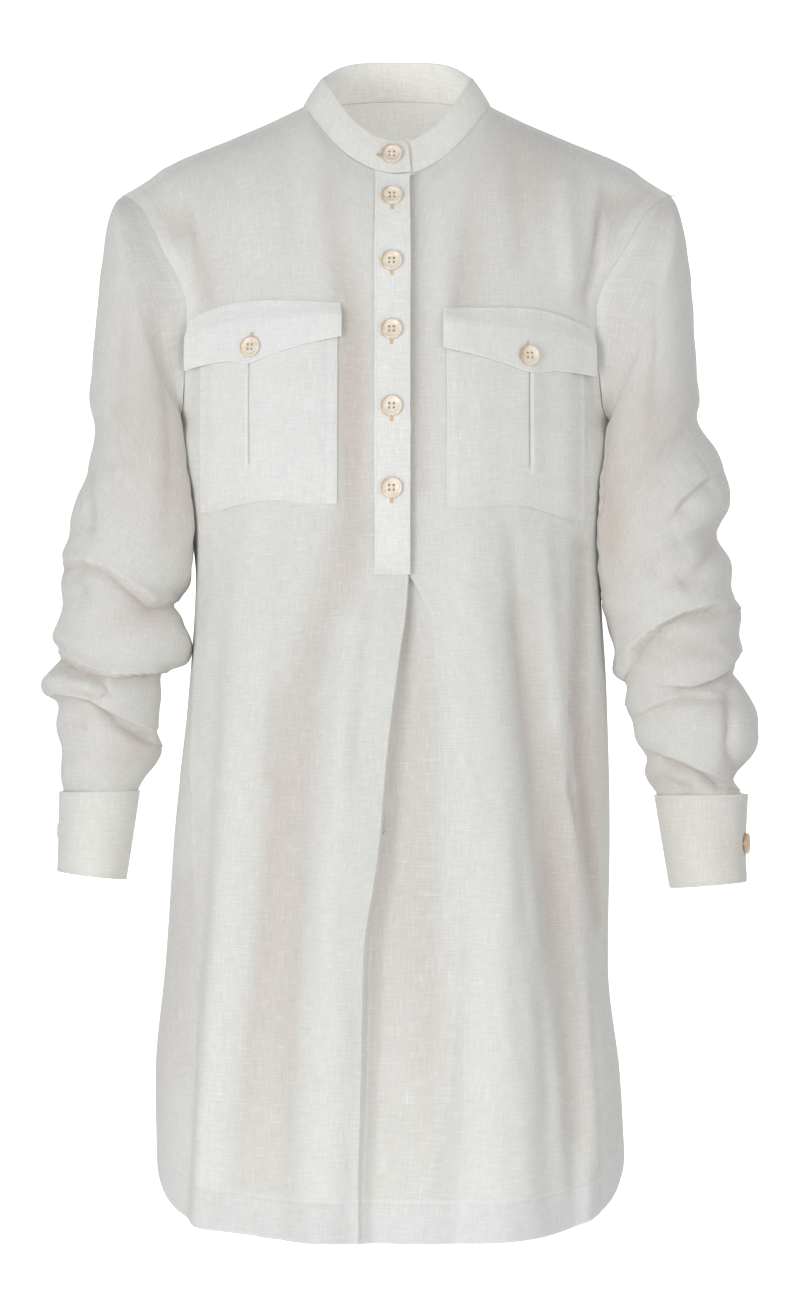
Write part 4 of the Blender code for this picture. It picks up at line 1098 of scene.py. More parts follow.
@dataclass
class Form:
    """The body's plain form and its folds, which the panels, the placket and the pockets share."""

    neck_half_width: float = 72
    neck_side_y: float = 6
    neck_front_y: float = -62
    neck_back_y: float = 58
    neck_front_z: float = -58
    neck_back_z: float = 8
    shoulder_point_x: float = 213
    neck_share: float = 0.42
    curve_of_rows: float = 3.2
    flatness: float = 0.9
    slit_x: float = 8
    slit_gap: float = 1.4
    placket_end_z: float = -368
    underlap_in: float = 4.0
    underlap_fade: float = 38
    girth_radius: float = 165
    fold_gain: float = 1.65

    def __post_init__(self) -> None:
        """Keeps the levels of the sections and the shoulder's steps."""
        self.levels = np.array([s.level for s in SECTIONS] + [level for level, _ in SHOULDER_STEPS])

    def section_row(self, section: Section, s: np.ndarray, face: Face) -> np.ndarray:
        """One ring's half at s from -1, the right side, to 1."""
        depth, mid_z, turn = section.faced(face)
        half = np.where(s < 0, section.right, section.left)
        y = face.value * depth * np.clip(np.cos(s * turn), 0, 1) ** self.flatness
        z = section.side_z + (mid_z - section.side_z) * (1 - np.abs(s) ** self.curve_of_rows)
        return np.stack([half * np.sin(s * turn), y, z], axis=-1)

    def top_row(self, s: np.ndarray, face: Face) -> np.ndarray:
        """A panel's top edge: the neckline in the middle and a shoulder seam on each side."""
        front = face is Face.FRONT
        neck = np.abs(s) < self.neck_share
        angle = np.clip(s / self.neck_share, -1, 1) * math.pi / 2
        mid_y = self.neck_front_y if front else self.neck_back_y
        mid_z = self.neck_front_z if front else self.neck_back_z
        along = np.clip((np.abs(s) - self.neck_share) / (1 - self.neck_share), 0, 1)
        out = self.neck_half_width + (self.shoulder_point_x - self.neck_half_width) * along
        x = np.where(neck, self.neck_half_width * np.sin(angle), np.sign(s) * out)
        y = np.where(neck, self.neck_side_y + (mid_y - self.neck_side_y) * np.cos(angle), self.neck_side_y)
        z = np.where(neck, mid_z * np.cos(angle) ** 2, np.interp(out, SHOULDER_X, SHOULDER_Z))
        return np.stack([x, y, z], axis=-1)

    def panel(self, s: np.ndarray, level: np.ndarray, face: Face) -> np.ndarray:
        """The plain panel without its folds."""
        rows = [self.section_row(section, s, face) for section in SECTIONS]
        low, top = rows[-1], self.top_row(s, face)
        round_it = 0.35 + 0.45 * smooth(np.abs(s) / self.neck_share)
        for _, t in SHOULDER_STEPS:
            turn = t * math.pi / 2
            over = t + (1 - math.cos(turn) - t) * round_it
            up = t + (math.sin(turn) - t) * round_it
            rows.append(low + (top - low) * np.stack([np.full_like(s, t), over, up], axis=-1))
        return through(self.levels, np.stack(rows), level, level_off=True)

    def outward(self, surface: Callable, s: np.ndarray, level: np.ndarray, face: Face) -> np.ndarray:
        """Unit vectors out of a panel, from its slopes."""
        step = 1e-3
        right, left = np.clip(s - step, -1, 1), np.clip(s + step, -1, 1)
        across = surface(left, level, face) - surface(right, level, face)
        low, high = np.clip(level - step, 0, 1), np.clip(level + step, 0, 1)
        up = surface(s, high, face) - surface(s, low, face)
        n = np.cross(across, up) * -face.value
        return n / np.maximum(np.linalg.norm(n, axis=-1, keepdims=True), 1e-9)

    def girth(self, x: np.ndarray) -> np.ndarray:
        """How far round the body a place lies that the front view shows at x."""
        r = self.girth_radius
        return r * np.arcsin(np.clip(np.asarray(x, float) / r, -0.97, 0.97))

    def fold_rise(self, face: Face, x: np.ndarray, z: np.ndarray) -> np.ndarray:
        """How far a panel's folds lift the cloth at places of its view. A fold that goes on from the one
        before it in the table isn't added to it: the higher of the two counts."""
        round_x = self.girth(x)
        total, chain, end = np.zeros_like(round_x), np.zeros_like(round_x), None
        for f in FOLDS[face]:
            top, low = np.array([self.girth(f.x_top), f.z_top]), np.array([self.girth(f.x_low), f.z_low])
            line = low - top
            away = np.stack([round_x, z], axis=-1) - top
            held = np.clip((away @ line) / (line @ line), 0, 1)
            off = np.linalg.norm(away - held[..., None] * line, axis=-1)
            rise = (f.rise_top + (f.rise_low - f.rise_top) * held) * np.exp(-((off / f.width) ** f.power))
            if end == (f.x_top, f.z_top):
                chain = np.where(np.abs(rise) > np.abs(chain), rise, chain)
            else:
                total, chain = total + chain, rise
            end = (f.x_low, f.z_low)
        return (total + chain) * self.fold_gain

    def rise(self, s: np.ndarray, level: np.ndarray, face: Face, place: np.ndarray) -> np.ndarray:
        """How far the cloth is lifted off the plain panel, in mm."""
        x, z = place[..., 0], place[..., 2]
        keep = smooth((1 - np.abs(s)) / 0.10) * smooth((1 - level) / 0.05)
        uneven = wander(self.girth(x), z, 5 if face is Face.FRONT else 9, (24, 70), 6.0)
        low = smooth((-z - 120) / 600)
        return (self.fold_rise(face, x, z) + uneven * (0.30 + 0.75 * low)) * keep

    def body(self, s: np.ndarray, level: np.ndarray, face: Face) -> np.ndarray:
        """A panel with its folds, which die away at the armholes, the neck and the side seams."""
        place = self.panel(s, level, face)
        return place + self.outward(self.panel, s, level, face) * self.rise(s, level, face, place)[..., None]

    def share_at(self, x: np.ndarray, level: np.ndarray) -> np.ndarray:
        """The s of the front that lies at x, near its middle, at each level."""
        levels = self.levels[: len(SECTIONS)]
        turn = np.radians(np.interp(level, levels, [c.front_turn for c in SECTIONS]))
        right = np.interp(level, levels, [c.right for c in SECTIONS])
        left = np.interp(level, levels, [c.left for c in SECTIONS])
        s = np.arcsin(np.clip(x / np.where(x < 0, right, left), -1, 1)) / turn
        above = smooth((level - SECTIONS[-1].level) / (1 - SECTIONS[-1].level))
        neck = np.arcsin(np.clip(x / self.neck_half_width, -1, 1)) / (math.pi / 2) * self.neck_share
        return s + (neck - s) * above

    def middle_z(self, level: np.ndarray) -> np.ndarray:
        """The height of the front's middle at each level."""
        return self.panel(np.zeros_like(level), level, Face.FRONT)[:, 2]

    def level_of(self, z: float) -> float:
        """The level at which the middle of the front is at height z."""
        levels = np.linspace(0, 1, 400)
        return float(np.interp(z, self.middle_z(levels), levels))

    def pleat_at(self, z: np.ndarray) -> list[np.ndarray]:
        """The pleat's edge, fold back, depth and far side at height z."""
        table = np.array(PLEAT)[::-1]
        z = np.clip(z, table[0, 0], table[-1, 0])
        return [through(table[:, 0], table[:, column], z, level_off=True) for column in range(1, 5)]

    def front_half(self, q: np.ndarray, level: np.ndarray, side: Side) -> np.ndarray:
        """The front from its middle (q 0) to a side seam (q 1). The right half ends on the pleat's
        pressed edge, and the left half starts under the placket."""
        mid_z = self.middle_z(level)
        edge_x, _, _, rise_x = self.pleat_at(mid_z)
        slit = mid_z > self.placket_end_z - 0.5
        right = side is Side.RIGHT
        start_x = edge_x if right else np.where(slit, self.slit_x + self.slit_gap, rise_x)
        start = self.share_at(start_x, level)
        s = start + (side.value - start) * q
        place = self.body(s, level, Face.FRONT)
        if not right:
            near = 1 - smooth((place[:, 0] - start_x) / self.underlap_fade)
            kept = np.where(slit, 1, smooth((mid_z + 470) / 100))
            inward = self.outward(self.panel, s, level, Face.FRONT) * self.underlap_in
            place = place - inward * (near * kept)[:, None]
        return place

    def front_pleat(self, p: np.ndarray, level: np.ndarray) -> np.ndarray:
        """The cloth folded into the pleat, from the pressed edge (p 0) to the left half (p 1)."""
        edge_x, under, deep, rise_x = self.pleat_at(self.middle_z(level))
        bends = np.array(PLEAT_BENDS)
        knots = np.linspace(0, 1, len(bends))
        back, far, inward = (through(knots, bends[:, k], p) for k in range(3))
        x = edge_x - under * back + (rise_x - edge_x) * far
        s = self.share_at(x, level)
        first = self.front_half(np.zeros_like(level), level, Side.RIGHT)
        last = self.front_half(np.zeros_like(level), level, Side.LEFT)
        inward_way = self.outward(self.panel, s, level, Face.FRONT) * (deep * inward)[:, None]
        place = self.body(s, level, Face.FRONT) - inward_way
        first_off = first - self.body(self.share_at(edge_x, level), level, Face.FRONT)
        last_off = last - self.body(self.share_at(rise_x, level), level, Face.FRONT)
        return place + first_off * (1 - p)[:, None] + last_off * (p ** 2)[:, None]

    def armhole_run(self, side: Side, face: Face) -> tuple[np.ndarray, np.ndarray]:
        """How far round from the shoulder point each level of an armhole's edge lies: 0 to 180."""
        levels = np.linspace(1, ARMPIT_LEVEL, 80)
        edge = self.panel(np.full_like(levels, side.value), levels, face)
        run = run_along(edge)
        return levels, run / run[-1] * 180

    def armhole(self, side: Side, angle: np.ndarray) -> tuple[np.ndarray, np.ndarray]:
        """The edge of an armhole, from 0 degrees at the shoulder point by 90 in front to 180 at the
        armpit, and the way out of the body there."""
        places, ways = [], []
        for face in Face:
            levels, turns = self.armhole_run(side, face)
            level = np.interp(np.where(angle <= 180, angle, 360 - angle), turns, levels)
            places.append(self.panel(np.full_like(level, side.value), level, face))
            ways.append(self.outward(self.panel, np.full_like(level, side.value * 0.999), level, face))
        before = (angle <= 180)[:, None]
        return np.where(before, *places), np.where(before, *ways)


@dataclass
class Threads:
    """Rows of stitches, each a short bead of thread, made once and copied. Sizes are in mm."""

    name: str
    radius: float = 0.24
    length: float = 2.2
    pitch: float = 2.9
    hole_pitch: float = 0.55
    hole_aside: float = 0.75
    hole_stitch: tuple[float, float] = (1.25, 0.33)
    hole_bar: tuple[float, float] = (2.9, 0.38)

    def __post_init__(self) -> None:
        """Starts with no stitches, and keeps one bead to copy."""
        self.places: list[np.ndarray] = []
        self.faces: list[np.ndarray] = []
        deselect()
        bpy.ops.mesh.primitive_ico_sphere_add(subdivisions=1, radius=1)
        bead = bpy.context.object
        self.bead = read(bead.data, "vertices", "co", 3)
        self.bead_faces = np.array([list(p.vertices) for p in bead.data.polygons])
        discard(bead)

    def bar(self, middle: np.ndarray, along: np.ndarray, out: np.ndarray, length: float,
            radius: float) -> None:
        """Adds one bead of thread, lying along a way on cloth that faces out."""
        along = along / max(np.linalg.norm(along), 1e-9)
        aside = np.cross(out, along)
        aside /= max(np.linalg.norm(aside), 1e-9)
        up = np.cross(along, aside)
        shaped = self.bead * np.array([length / 2, radius, radius])
        self.faces.append(self.bead_faces + sum(len(p) for p in self.places))
        self.places.append(middle + shaped @ np.stack([along, aside, up]))

    def row(self, points: np.ndarray, out: np.ndarray) -> None:
        """Adds a row of stitches along points on cloth that faces out."""
        run = run_along(points)
        count = int(run[-1] / self.pitch)
        middles = (np.arange(count) + 0.5) * run[-1] / max(count, 1)

        def between(values: np.ndarray, step: float = 0.0) -> np.ndarray:
            """The values at the stitches' middles, or a step past them."""
            return np.stack([np.interp(middles + step, run, values[:, k]) for k in range(3)], axis=1)

        near = 0.4
        ways = between(points, near) - between(points, -near)
        for place, along, way in zip(between(points), ways, between(out)):
            self.bar(place, along, way, self.length, self.radius)

    def sew(self, sheet: Sheet, rows: np.ndarray | float, columns: np.ndarray | float, cloth: float) -> None:
        """Adds a row of stitches along places of a grid, on cloth of a thickness."""
        rows, columns = np.broadcast_arrays(np.asarray(rows, float), np.asarray(columns, float))
        self.row(*sheet.at(rows, columns, cloth / 2 + THREAD_LIFT))

    def buttonhole(self, middle: np.ndarray, along: np.ndarray, out: np.ndarray, length: float) -> None:
        """Adds a buttonhole: close stitches across both sides of its slit, and a bar at each end."""
        along = along / np.linalg.norm(along)
        aside = np.cross(out, along)
        aside /= np.linalg.norm(aside)
        for step in np.arange(-length / 2, length / 2 + 0.01, self.hole_pitch):
            for way in (-1, 1):
                place = middle + along * step + aside * way * self.hole_aside
                self.bar(place, aside, out, *self.hole_stitch)
        for way in (-1, 1):
            for step in (-0.35, 0.35):
                place = middle + along * way * (length / 2 + 0.5 + step)
                self.bar(place, aside, out, *self.hole_bar)

    def piece(self, finish: bpy.types.Material) -> bpy.types.Object:
        """One mesh of all the stitches."""
        deselect()
        mesh = bpy.data.meshes.new(self.name)
        places, faces = np.concatenate(self.places) * MM, np.concatenate(self.faces)
        mesh.from_pydata(places.tolist(), [], faces.tolist())
        made = link(self.name, mesh)
        mesh.materials.append(finish)
        mesh.shade_smooth()
        return made


@dataclass
class Materials:
    """The finishes of the blouse, each made once."""

    linen: bpy.types.Material
    thread: bpy.types.Material
    gold_thread: bpy.types.Material
    button: bpy.types.Material

    @classmethod
    def made(cls) -> "Materials":
        """All the finishes."""
        return cls(
            LinenFinish("linen_cloth").make(),
            ThreadFinish("seam_thread", (0.90, 0.90, 0.87, 1), (0.78, 0.78, 0.75, 1)).make(),
            ThreadFinish("buttonhole_thread", (0.84, 0.70, 0.50, 1), (0.68, 0.50, 0.31, 1)).make(),
            ButtonFinish("horn_button").make(),
        )


def settle(piece: bpy.types.Object, slot: str, *nodes: str) -> bpy.types.Object:
    """Gives a piece to the garment's one body.

    Args:
        piece: the finished piece.
        slot: the record's material slot.
        nodes: the nodes that it stands for.

    Returns:
        The piece.
    """
    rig.ride(piece, "root")
    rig.slot(piece, slot)
    if nodes:
        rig.replaces(piece, *nodes)
    faces = sum(len(p.vertices) - 2 for p in piece.data.polygons)
    LOG.info("%s: %d triangles", piece.name, faces)
    return piece


@dataclass
class Sewn:
    """Something that is made of the blouse's finishes."""

    finishes: Materials

    def cut(self, sheet: Sheet, thick: float, slot: str, node: str) -> bpy.types.Object:
        """Makes a sheet a piece of linen, which stands for a node."""
        return settle(sheet.shell(thick, self.finishes.linen), slot, node)

    def sewn(self, stitches: Threads) -> bpy.types.Object:
        """Makes rows of stitches a piece."""
        return settle(stitches.piece(self.finishes.thread), "linen_doubled")


@dataclass
class Torso(Sewn):
    """The front, the back and their turned-up hems."""

    form: Form
    cloth: float = 0.8
    hem_cloth: float = 0.6
    hem_depth: float = 31
    hem_edge: float = 0.6
    stitch_inset: float = 1.6
    hem_gap: float = 0.15
    seam_allowance: float = 9
    full_fold: float = 9
    # How much painted highlight a fold's crest takes
    crest_share: float = 0.38
    even_reach: float = 11
    even_rounds: int = 90
    front_columns: tuple[int, int, int] = (54, 40, 26)
    front_rows: tuple[int, int, int] = (118, 38, 60)
    back_columns: tuple[int, int, int] = (38, 70, 38)
    back_rows: tuple[int, int] = (120, 60)
    middle: tuple[float, float, float] = (0, 0, -450)

    def half_columns(self, side: Side) -> np.ndarray:
        """The q of a half's columns, the neck's end among them."""
        form = self.form
        start_x = form.slit_x if side is Side.RIGHT else form.slit_x + form.slit_gap
        start = form.share_at(np.array([start_x]), np.array([1.0]))[0]
        neck = (side.value * form.neck_share - start) / (side.value - start)
        return stretches((0, neck, 1), self.front_columns[:2])

    def front_sheet(self) -> Sheet:
        """The front's grid, with the slit's cells marked as gone above the pleat."""
        form = self.form
        right = self.half_columns(Side.RIGHT)[::-1]
        pleat = np.linspace(0, 1, self.front_columns[2])[1:-1]
        left = self.half_columns(Side.LEFT)
        slit = form.level_of(form.placket_end_z)
        levels = stretches((0, slit, ARMPIT_LEVEL, 1), self.front_rows)
        grids = []
        for shares, make in (
            (right, lambda q, v: form.front_half(q, v, Side.RIGHT)),
            (pleat, form.front_pleat),
            (left, lambda q, v: form.front_half(q, v, Side.LEFT)),
        ):
            grids.append(make(*pairs(shares, levels)).reshape(len(levels), len(shares), 3))
        points = self.soften(np.concatenate(grids, axis=1))
        rows, columns = points.shape[:2]
        start, end = len(right), len(right) + len(pleat)
        gone = np.zeros((rows - 1, columns - 1), bool)
        gone[self.front_rows[0] - 1:, start - 1:end] = True
        sheet = Sheet("front_panel", points, self.middle, gone=gone)
        sheet.marks = self.marks(points, Face.FRONT)
        # Painted shade in the pleat's recess, fading towards the hem
        recess = np.zeros(columns)
        recess[start:end] = np.sin(np.linspace(0, math.pi, len(pleat))) ** 0.5
        z = points[..., 2]
        low = smooth((form.placket_end_z - z) / 40) * (0.25 + 0.75 * smooth((z + 850) / 260))
        sheet.marks["warmth"] = np.clip(sheet.marks["warmth"] + recess[None, :] * 0.6 * low, 0, 1)
        return sheet

    def back_sheet(self) -> Sheet:
        """The back's grid."""
        neck = self.form.neck_share
        shares = stretches((-1, -neck, neck, 1), self.back_columns)
        levels = stretches((0, ARMPIT_LEVEL, 1), self.back_rows)
        points = self.form.body(*pairs(shares, levels), Face.BACK).reshape(len(levels), len(shares), 3)
        sheet = Sheet("back_panel", self.soften(points), self.middle)
        sheet.marks = self.marks(sheet.points, Face.BACK)
        return sheet

    def soften(self, points: np.ndarray) -> np.ndarray:
        """Evens out the cloth below the neck's side points, where its columns turn."""
        near = np.exp(-(((np.abs(points[..., 0]) - self.form.neck_half_width) / self.even_reach) ** 2))
        top = points[-1:, :, 2] - points[..., 2]
        share = (near * smooth((top - 3) / 14) * smooth((190 - top) / 60))[:, 1:-1, None] * 0.5
        for _ in range(self.even_rounds):
            points[:, 1:-1] += share * ((points[:, 2:] + points[:, :-2]) / 2 - points[:, 1:-1])
        return points

    def marks(self, points: np.ndarray, face: Face) -> dict[str, np.ndarray]:
        """Where a panel lies twice at its hem and seams, and where it takes painted highlights and painted shade."""
        x, z = points[..., 0], points[..., 2]
        run, across = run_along(points), run_along(points, 1)
        band = within(run, self.hem_depth - 0.6, 1.6)
        seams = within(np.minimum(across, across[:, -1:] - across), self.seam_allowance)
        beside_neck = np.abs(x[-1:]) > self.form.neck_half_width - 1
        shoulders = within(run[-1:] - run, self.seam_allowance) * beside_neck
        rise = self.form.fold_rise(face, x, z)
        # Painted shade in the folds' valleys, the listed patches and faint random patches, less on the hem band and
        # near the hem
        patches = wander(x, z, 21, (50, 160), 2.0)
        valleys = np.clip(-rise / self.full_fold, 0, 0.75)
        warmth = valleys + np.clip(patches, 0, 1) * 0.12 + warmed(points, BODY_PATCHES)
        fade = 0.35 + 0.65 * smooth((z + 860) / 200)
        # The hem band and seams lie twice; the band is brighter towards the wearer's left as painted light, and crests
        # take a painted highlight
        layers = band * (0.75 + 0.25 * np.tanh(x / 60)) + (seams + shoulders) * SEAM_DOUBLING
        layers += np.clip(rise / self.full_fold, 0, 1) * self.crest_share * (1 - band)
        return {"layers": np.clip(layers, 0, 1), "warmth": warmth * (1 - band) * fade}

    def build(self) -> Sheet:
        """Makes the panels, their hems and the hems' stitching, and returns the front's grid."""
        front, back = self.front_sheet(), self.back_sheet()
        stitches = Threads("hem_stitches")
        for sheet, node, whole, hem in ((front, "front", (0.51, 0.89, 0.40), 0.52),
                                        (back, "back", (0.44, 0.895, 0.37), 0.42)):
            facing = self.facing(sheet, node)
            panel = self.cut(sheet, self.cloth, "linen", node)
            turned = self.cut(facing, self.hem_cloth, "linen_doubled", f"hem_facing_{node}")
            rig.sheet(panel, flat=whole[:2], held="hung", area=whole[2])
            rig.sheet(turned, flat=(hem, 0.031), held="folded", rests_on=[panel.name])
            rows = self.rows_at(sheet, self.hem_depth - self.stitch_inset)
            stitches.sew(sheet, rows[1:-1], np.arange(1, len(rows) - 1), self.cloth)
        self.sewn(stitches)
        return front

    @staticmethod
    def rows_at(sheet: Sheet, height: float) -> np.ndarray:
        """The row, in parts of a row, at a height above the hem in each column."""
        run = run_along(sheet.points[:24])
        return np.array([np.interp(height, column, np.arange(len(run))) for column in run.T])

    def facing(self, sheet: Sheet, node: str) -> Sheet:
        """The hem's turned-up strip, inside a panel."""
        heights = np.linspace(self.hem_edge, self.hem_depth, 9)
        off = -(self.cloth / 2 + self.hem_cloth / 2 + self.hem_gap)
        columns = np.arange(sheet.points.shape[1])
        rows = [sheet.at(self.rows_at(sheet, height), columns, off)[0] for height in heights]
        strip = Sheet(f"hem_facing_{node}_turned", np.stack(rows), (0, 0, -850))
        strip.marks = {"layers": np.ones(strip.points.shape[:2])}
        return strip


@dataclass
class Collar(Sewn):
    """The standing band and its edge stitching."""

    form: Form
    cloth: float = 1.5
    top_half_width: float = 57.5
    top_front_y: float = -49
    top_back_y: float = 50
    top_front_z: float = -33
    top_side_z: float = 22
    top_back_z: float = 38
    over_end: float = 368.0
    ramp: tuple[float, float] = (300.0, 343.0)
    lap_rise: float = 2.6
    seat: float = 0.45
    bow: float = 0.8
    corner: float = 7.0
    columns: int = 300
    rows: int = 15

    def sheet(self) -> Sheet:
        """The band's grid, from its under end at the left front to the end that laps over."""
        form = self.form
        start = form.share_at(np.array([form.slit_x]), np.array([1.0]))[0] / form.neck_share * 90
        angles = np.linspace(start - 8, self.over_end, self.columns)
        turn, height = np.meshgrid(np.radians(angles), np.linspace(0, 1, self.rows))
        ends = (angles - self.over_end) * form.neck_half_width * math.pi / 180 * 0.9
        near = np.clip(ends + self.corner, 0, None)
        corner = self.corner - np.sqrt(np.clip(self.corner ** 2 - near ** 2, 0, None))
        height = height * (1 - corner[None, :] / 30)
        front, back = np.clip(np.cos(turn), 0, 1), np.clip(-np.cos(turn), 0, 1)
        side_y = form.neck_side_y
        base = np.stack([
            form.neck_half_width * np.sin(turn),
            side_y + (form.neck_front_y - side_y) * front + (form.neck_back_y - side_y) * back,
            form.neck_front_z * front ** 2 + form.neck_back_z * back ** 2,
        ], axis=-1)
        top = np.stack([
            self.top_half_width * np.sin(turn),
            side_y + (self.top_front_y - side_y) * front + (self.top_back_y - side_y) * back,
            self.top_side_z + (self.top_front_z - self.top_side_z) * front ** 2
            + (self.top_back_z - self.top_side_z) * (1 - np.abs(np.sin(turn)) ** 4) * (back > 0),
        ], axis=-1)
        low, high = self.ramp
        lap = self.lap_rise * smooth((np.degrees(turn) - low) / (high - low)) + self.seat
        out = np.stack([np.sin(turn), -np.cos(turn), 0.35 * np.ones_like(turn)], axis=-1)
        out /= np.linalg.norm(out, axis=-1, keepdims=True)
        bow = self.bow * np.sin(np.clip(height, 0, 1) * math.pi)
        points = base + (top - base) * height[..., None] + out * (lap + bow)[..., None]
        made = Sheet("collar_band_cloth", points, (0, 0, 0))
        made.marks = {"layers": np.full(height.shape, 0.3)}
        return made

    def build(self) -> Sheet:
        """Makes the band and its stitching, and returns its grid."""
        sheet = self.sheet()
        band = self.cut(sheet, self.cloth, "linen_doubled", "collar_band")
        stitches = Threads("collar_stitches")
        rows, columns = sheet.points.shape[:2]
        for row in (0.9, rows - 1.9):
            stitches.sew(sheet, row, np.arange(3, columns - 3), self.cloth)
        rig.sheet(band, flat=(0.37, 0.03), held="stretched", with_pieces=[self.sewn(stitches)])
        return sheet


@dataclass
class Placket(Sewn):
    """The strip with the buttonholes, and the one under it that carries the buttons."""

    form: Form
    right_x: float = -17
    left_x: float = 10
    over_off: float = 1.9
    low_off: float = 1.25
    over_cloth: float = 1.3
    under_cloth: float = 1.0
    rows: int = 150

    def strip(self, name: str, left: float, off: float, low_off: float, columns: int) -> Sheet:
        """A strip's grid, lifted off the front or laid under it, by low_off at its lower end."""
        form = self.form
        levels = np.linspace(form.level_of(form.placket_end_z) + 0.001, 0.997, self.rows)
        x, level = pairs(np.linspace(self.right_x, left, columns), levels)
        s = form.share_at(x, level)
        end = 1 - smooth((level - levels[0]) / 0.022)
        lift = form.outward(form.panel, s, level, Face.FRONT) * (off + (low_off - off) * end)[:, None]
        points = form.body(s, level, Face.FRONT) + lift
        sheet = Sheet(name, points.reshape(len(levels), columns, 3), (0, 200, -200))
        sheet.marks = {"layers": (0.75 - 0.3 * end).reshape(len(levels), columns)}
        return sheet

    def build(self) -> Sheet:
        """Makes both strips and the stitching, and returns the upper one's grid."""
        deep = -self.form.underlap_in
        over = self.strip("placket_cloth", self.left_x, self.over_off, self.low_off, 22)
        under = self.strip("placket_under_cloth", self.form.slit_x + 0.9, deep, deep, 14)
        top = self.cut(over, self.over_cloth, "linen_doubled", "placket_top")
        low = self.cut(under, self.under_cloth, "linen", "placket_under")
        stitches = Threads("placket_stitches")
        rows, columns = over.points.shape[:2]
        sides = 1.4, columns - 2.4
        for column in sides:
            stitches.sew(over, np.arange(1, rows - 1), column, self.over_cloth)
        for row in (1.2, 5.5):
            stitches.sew(over, row, np.linspace(*sides, 20), self.over_cloth)
        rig.sheet(top, flat=(0.027, 0.311), held="stretched", with_pieces=[self.sewn(stitches)])
        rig.sheet(low, flat=(0.026, 0.311), held="stretched")
        return over


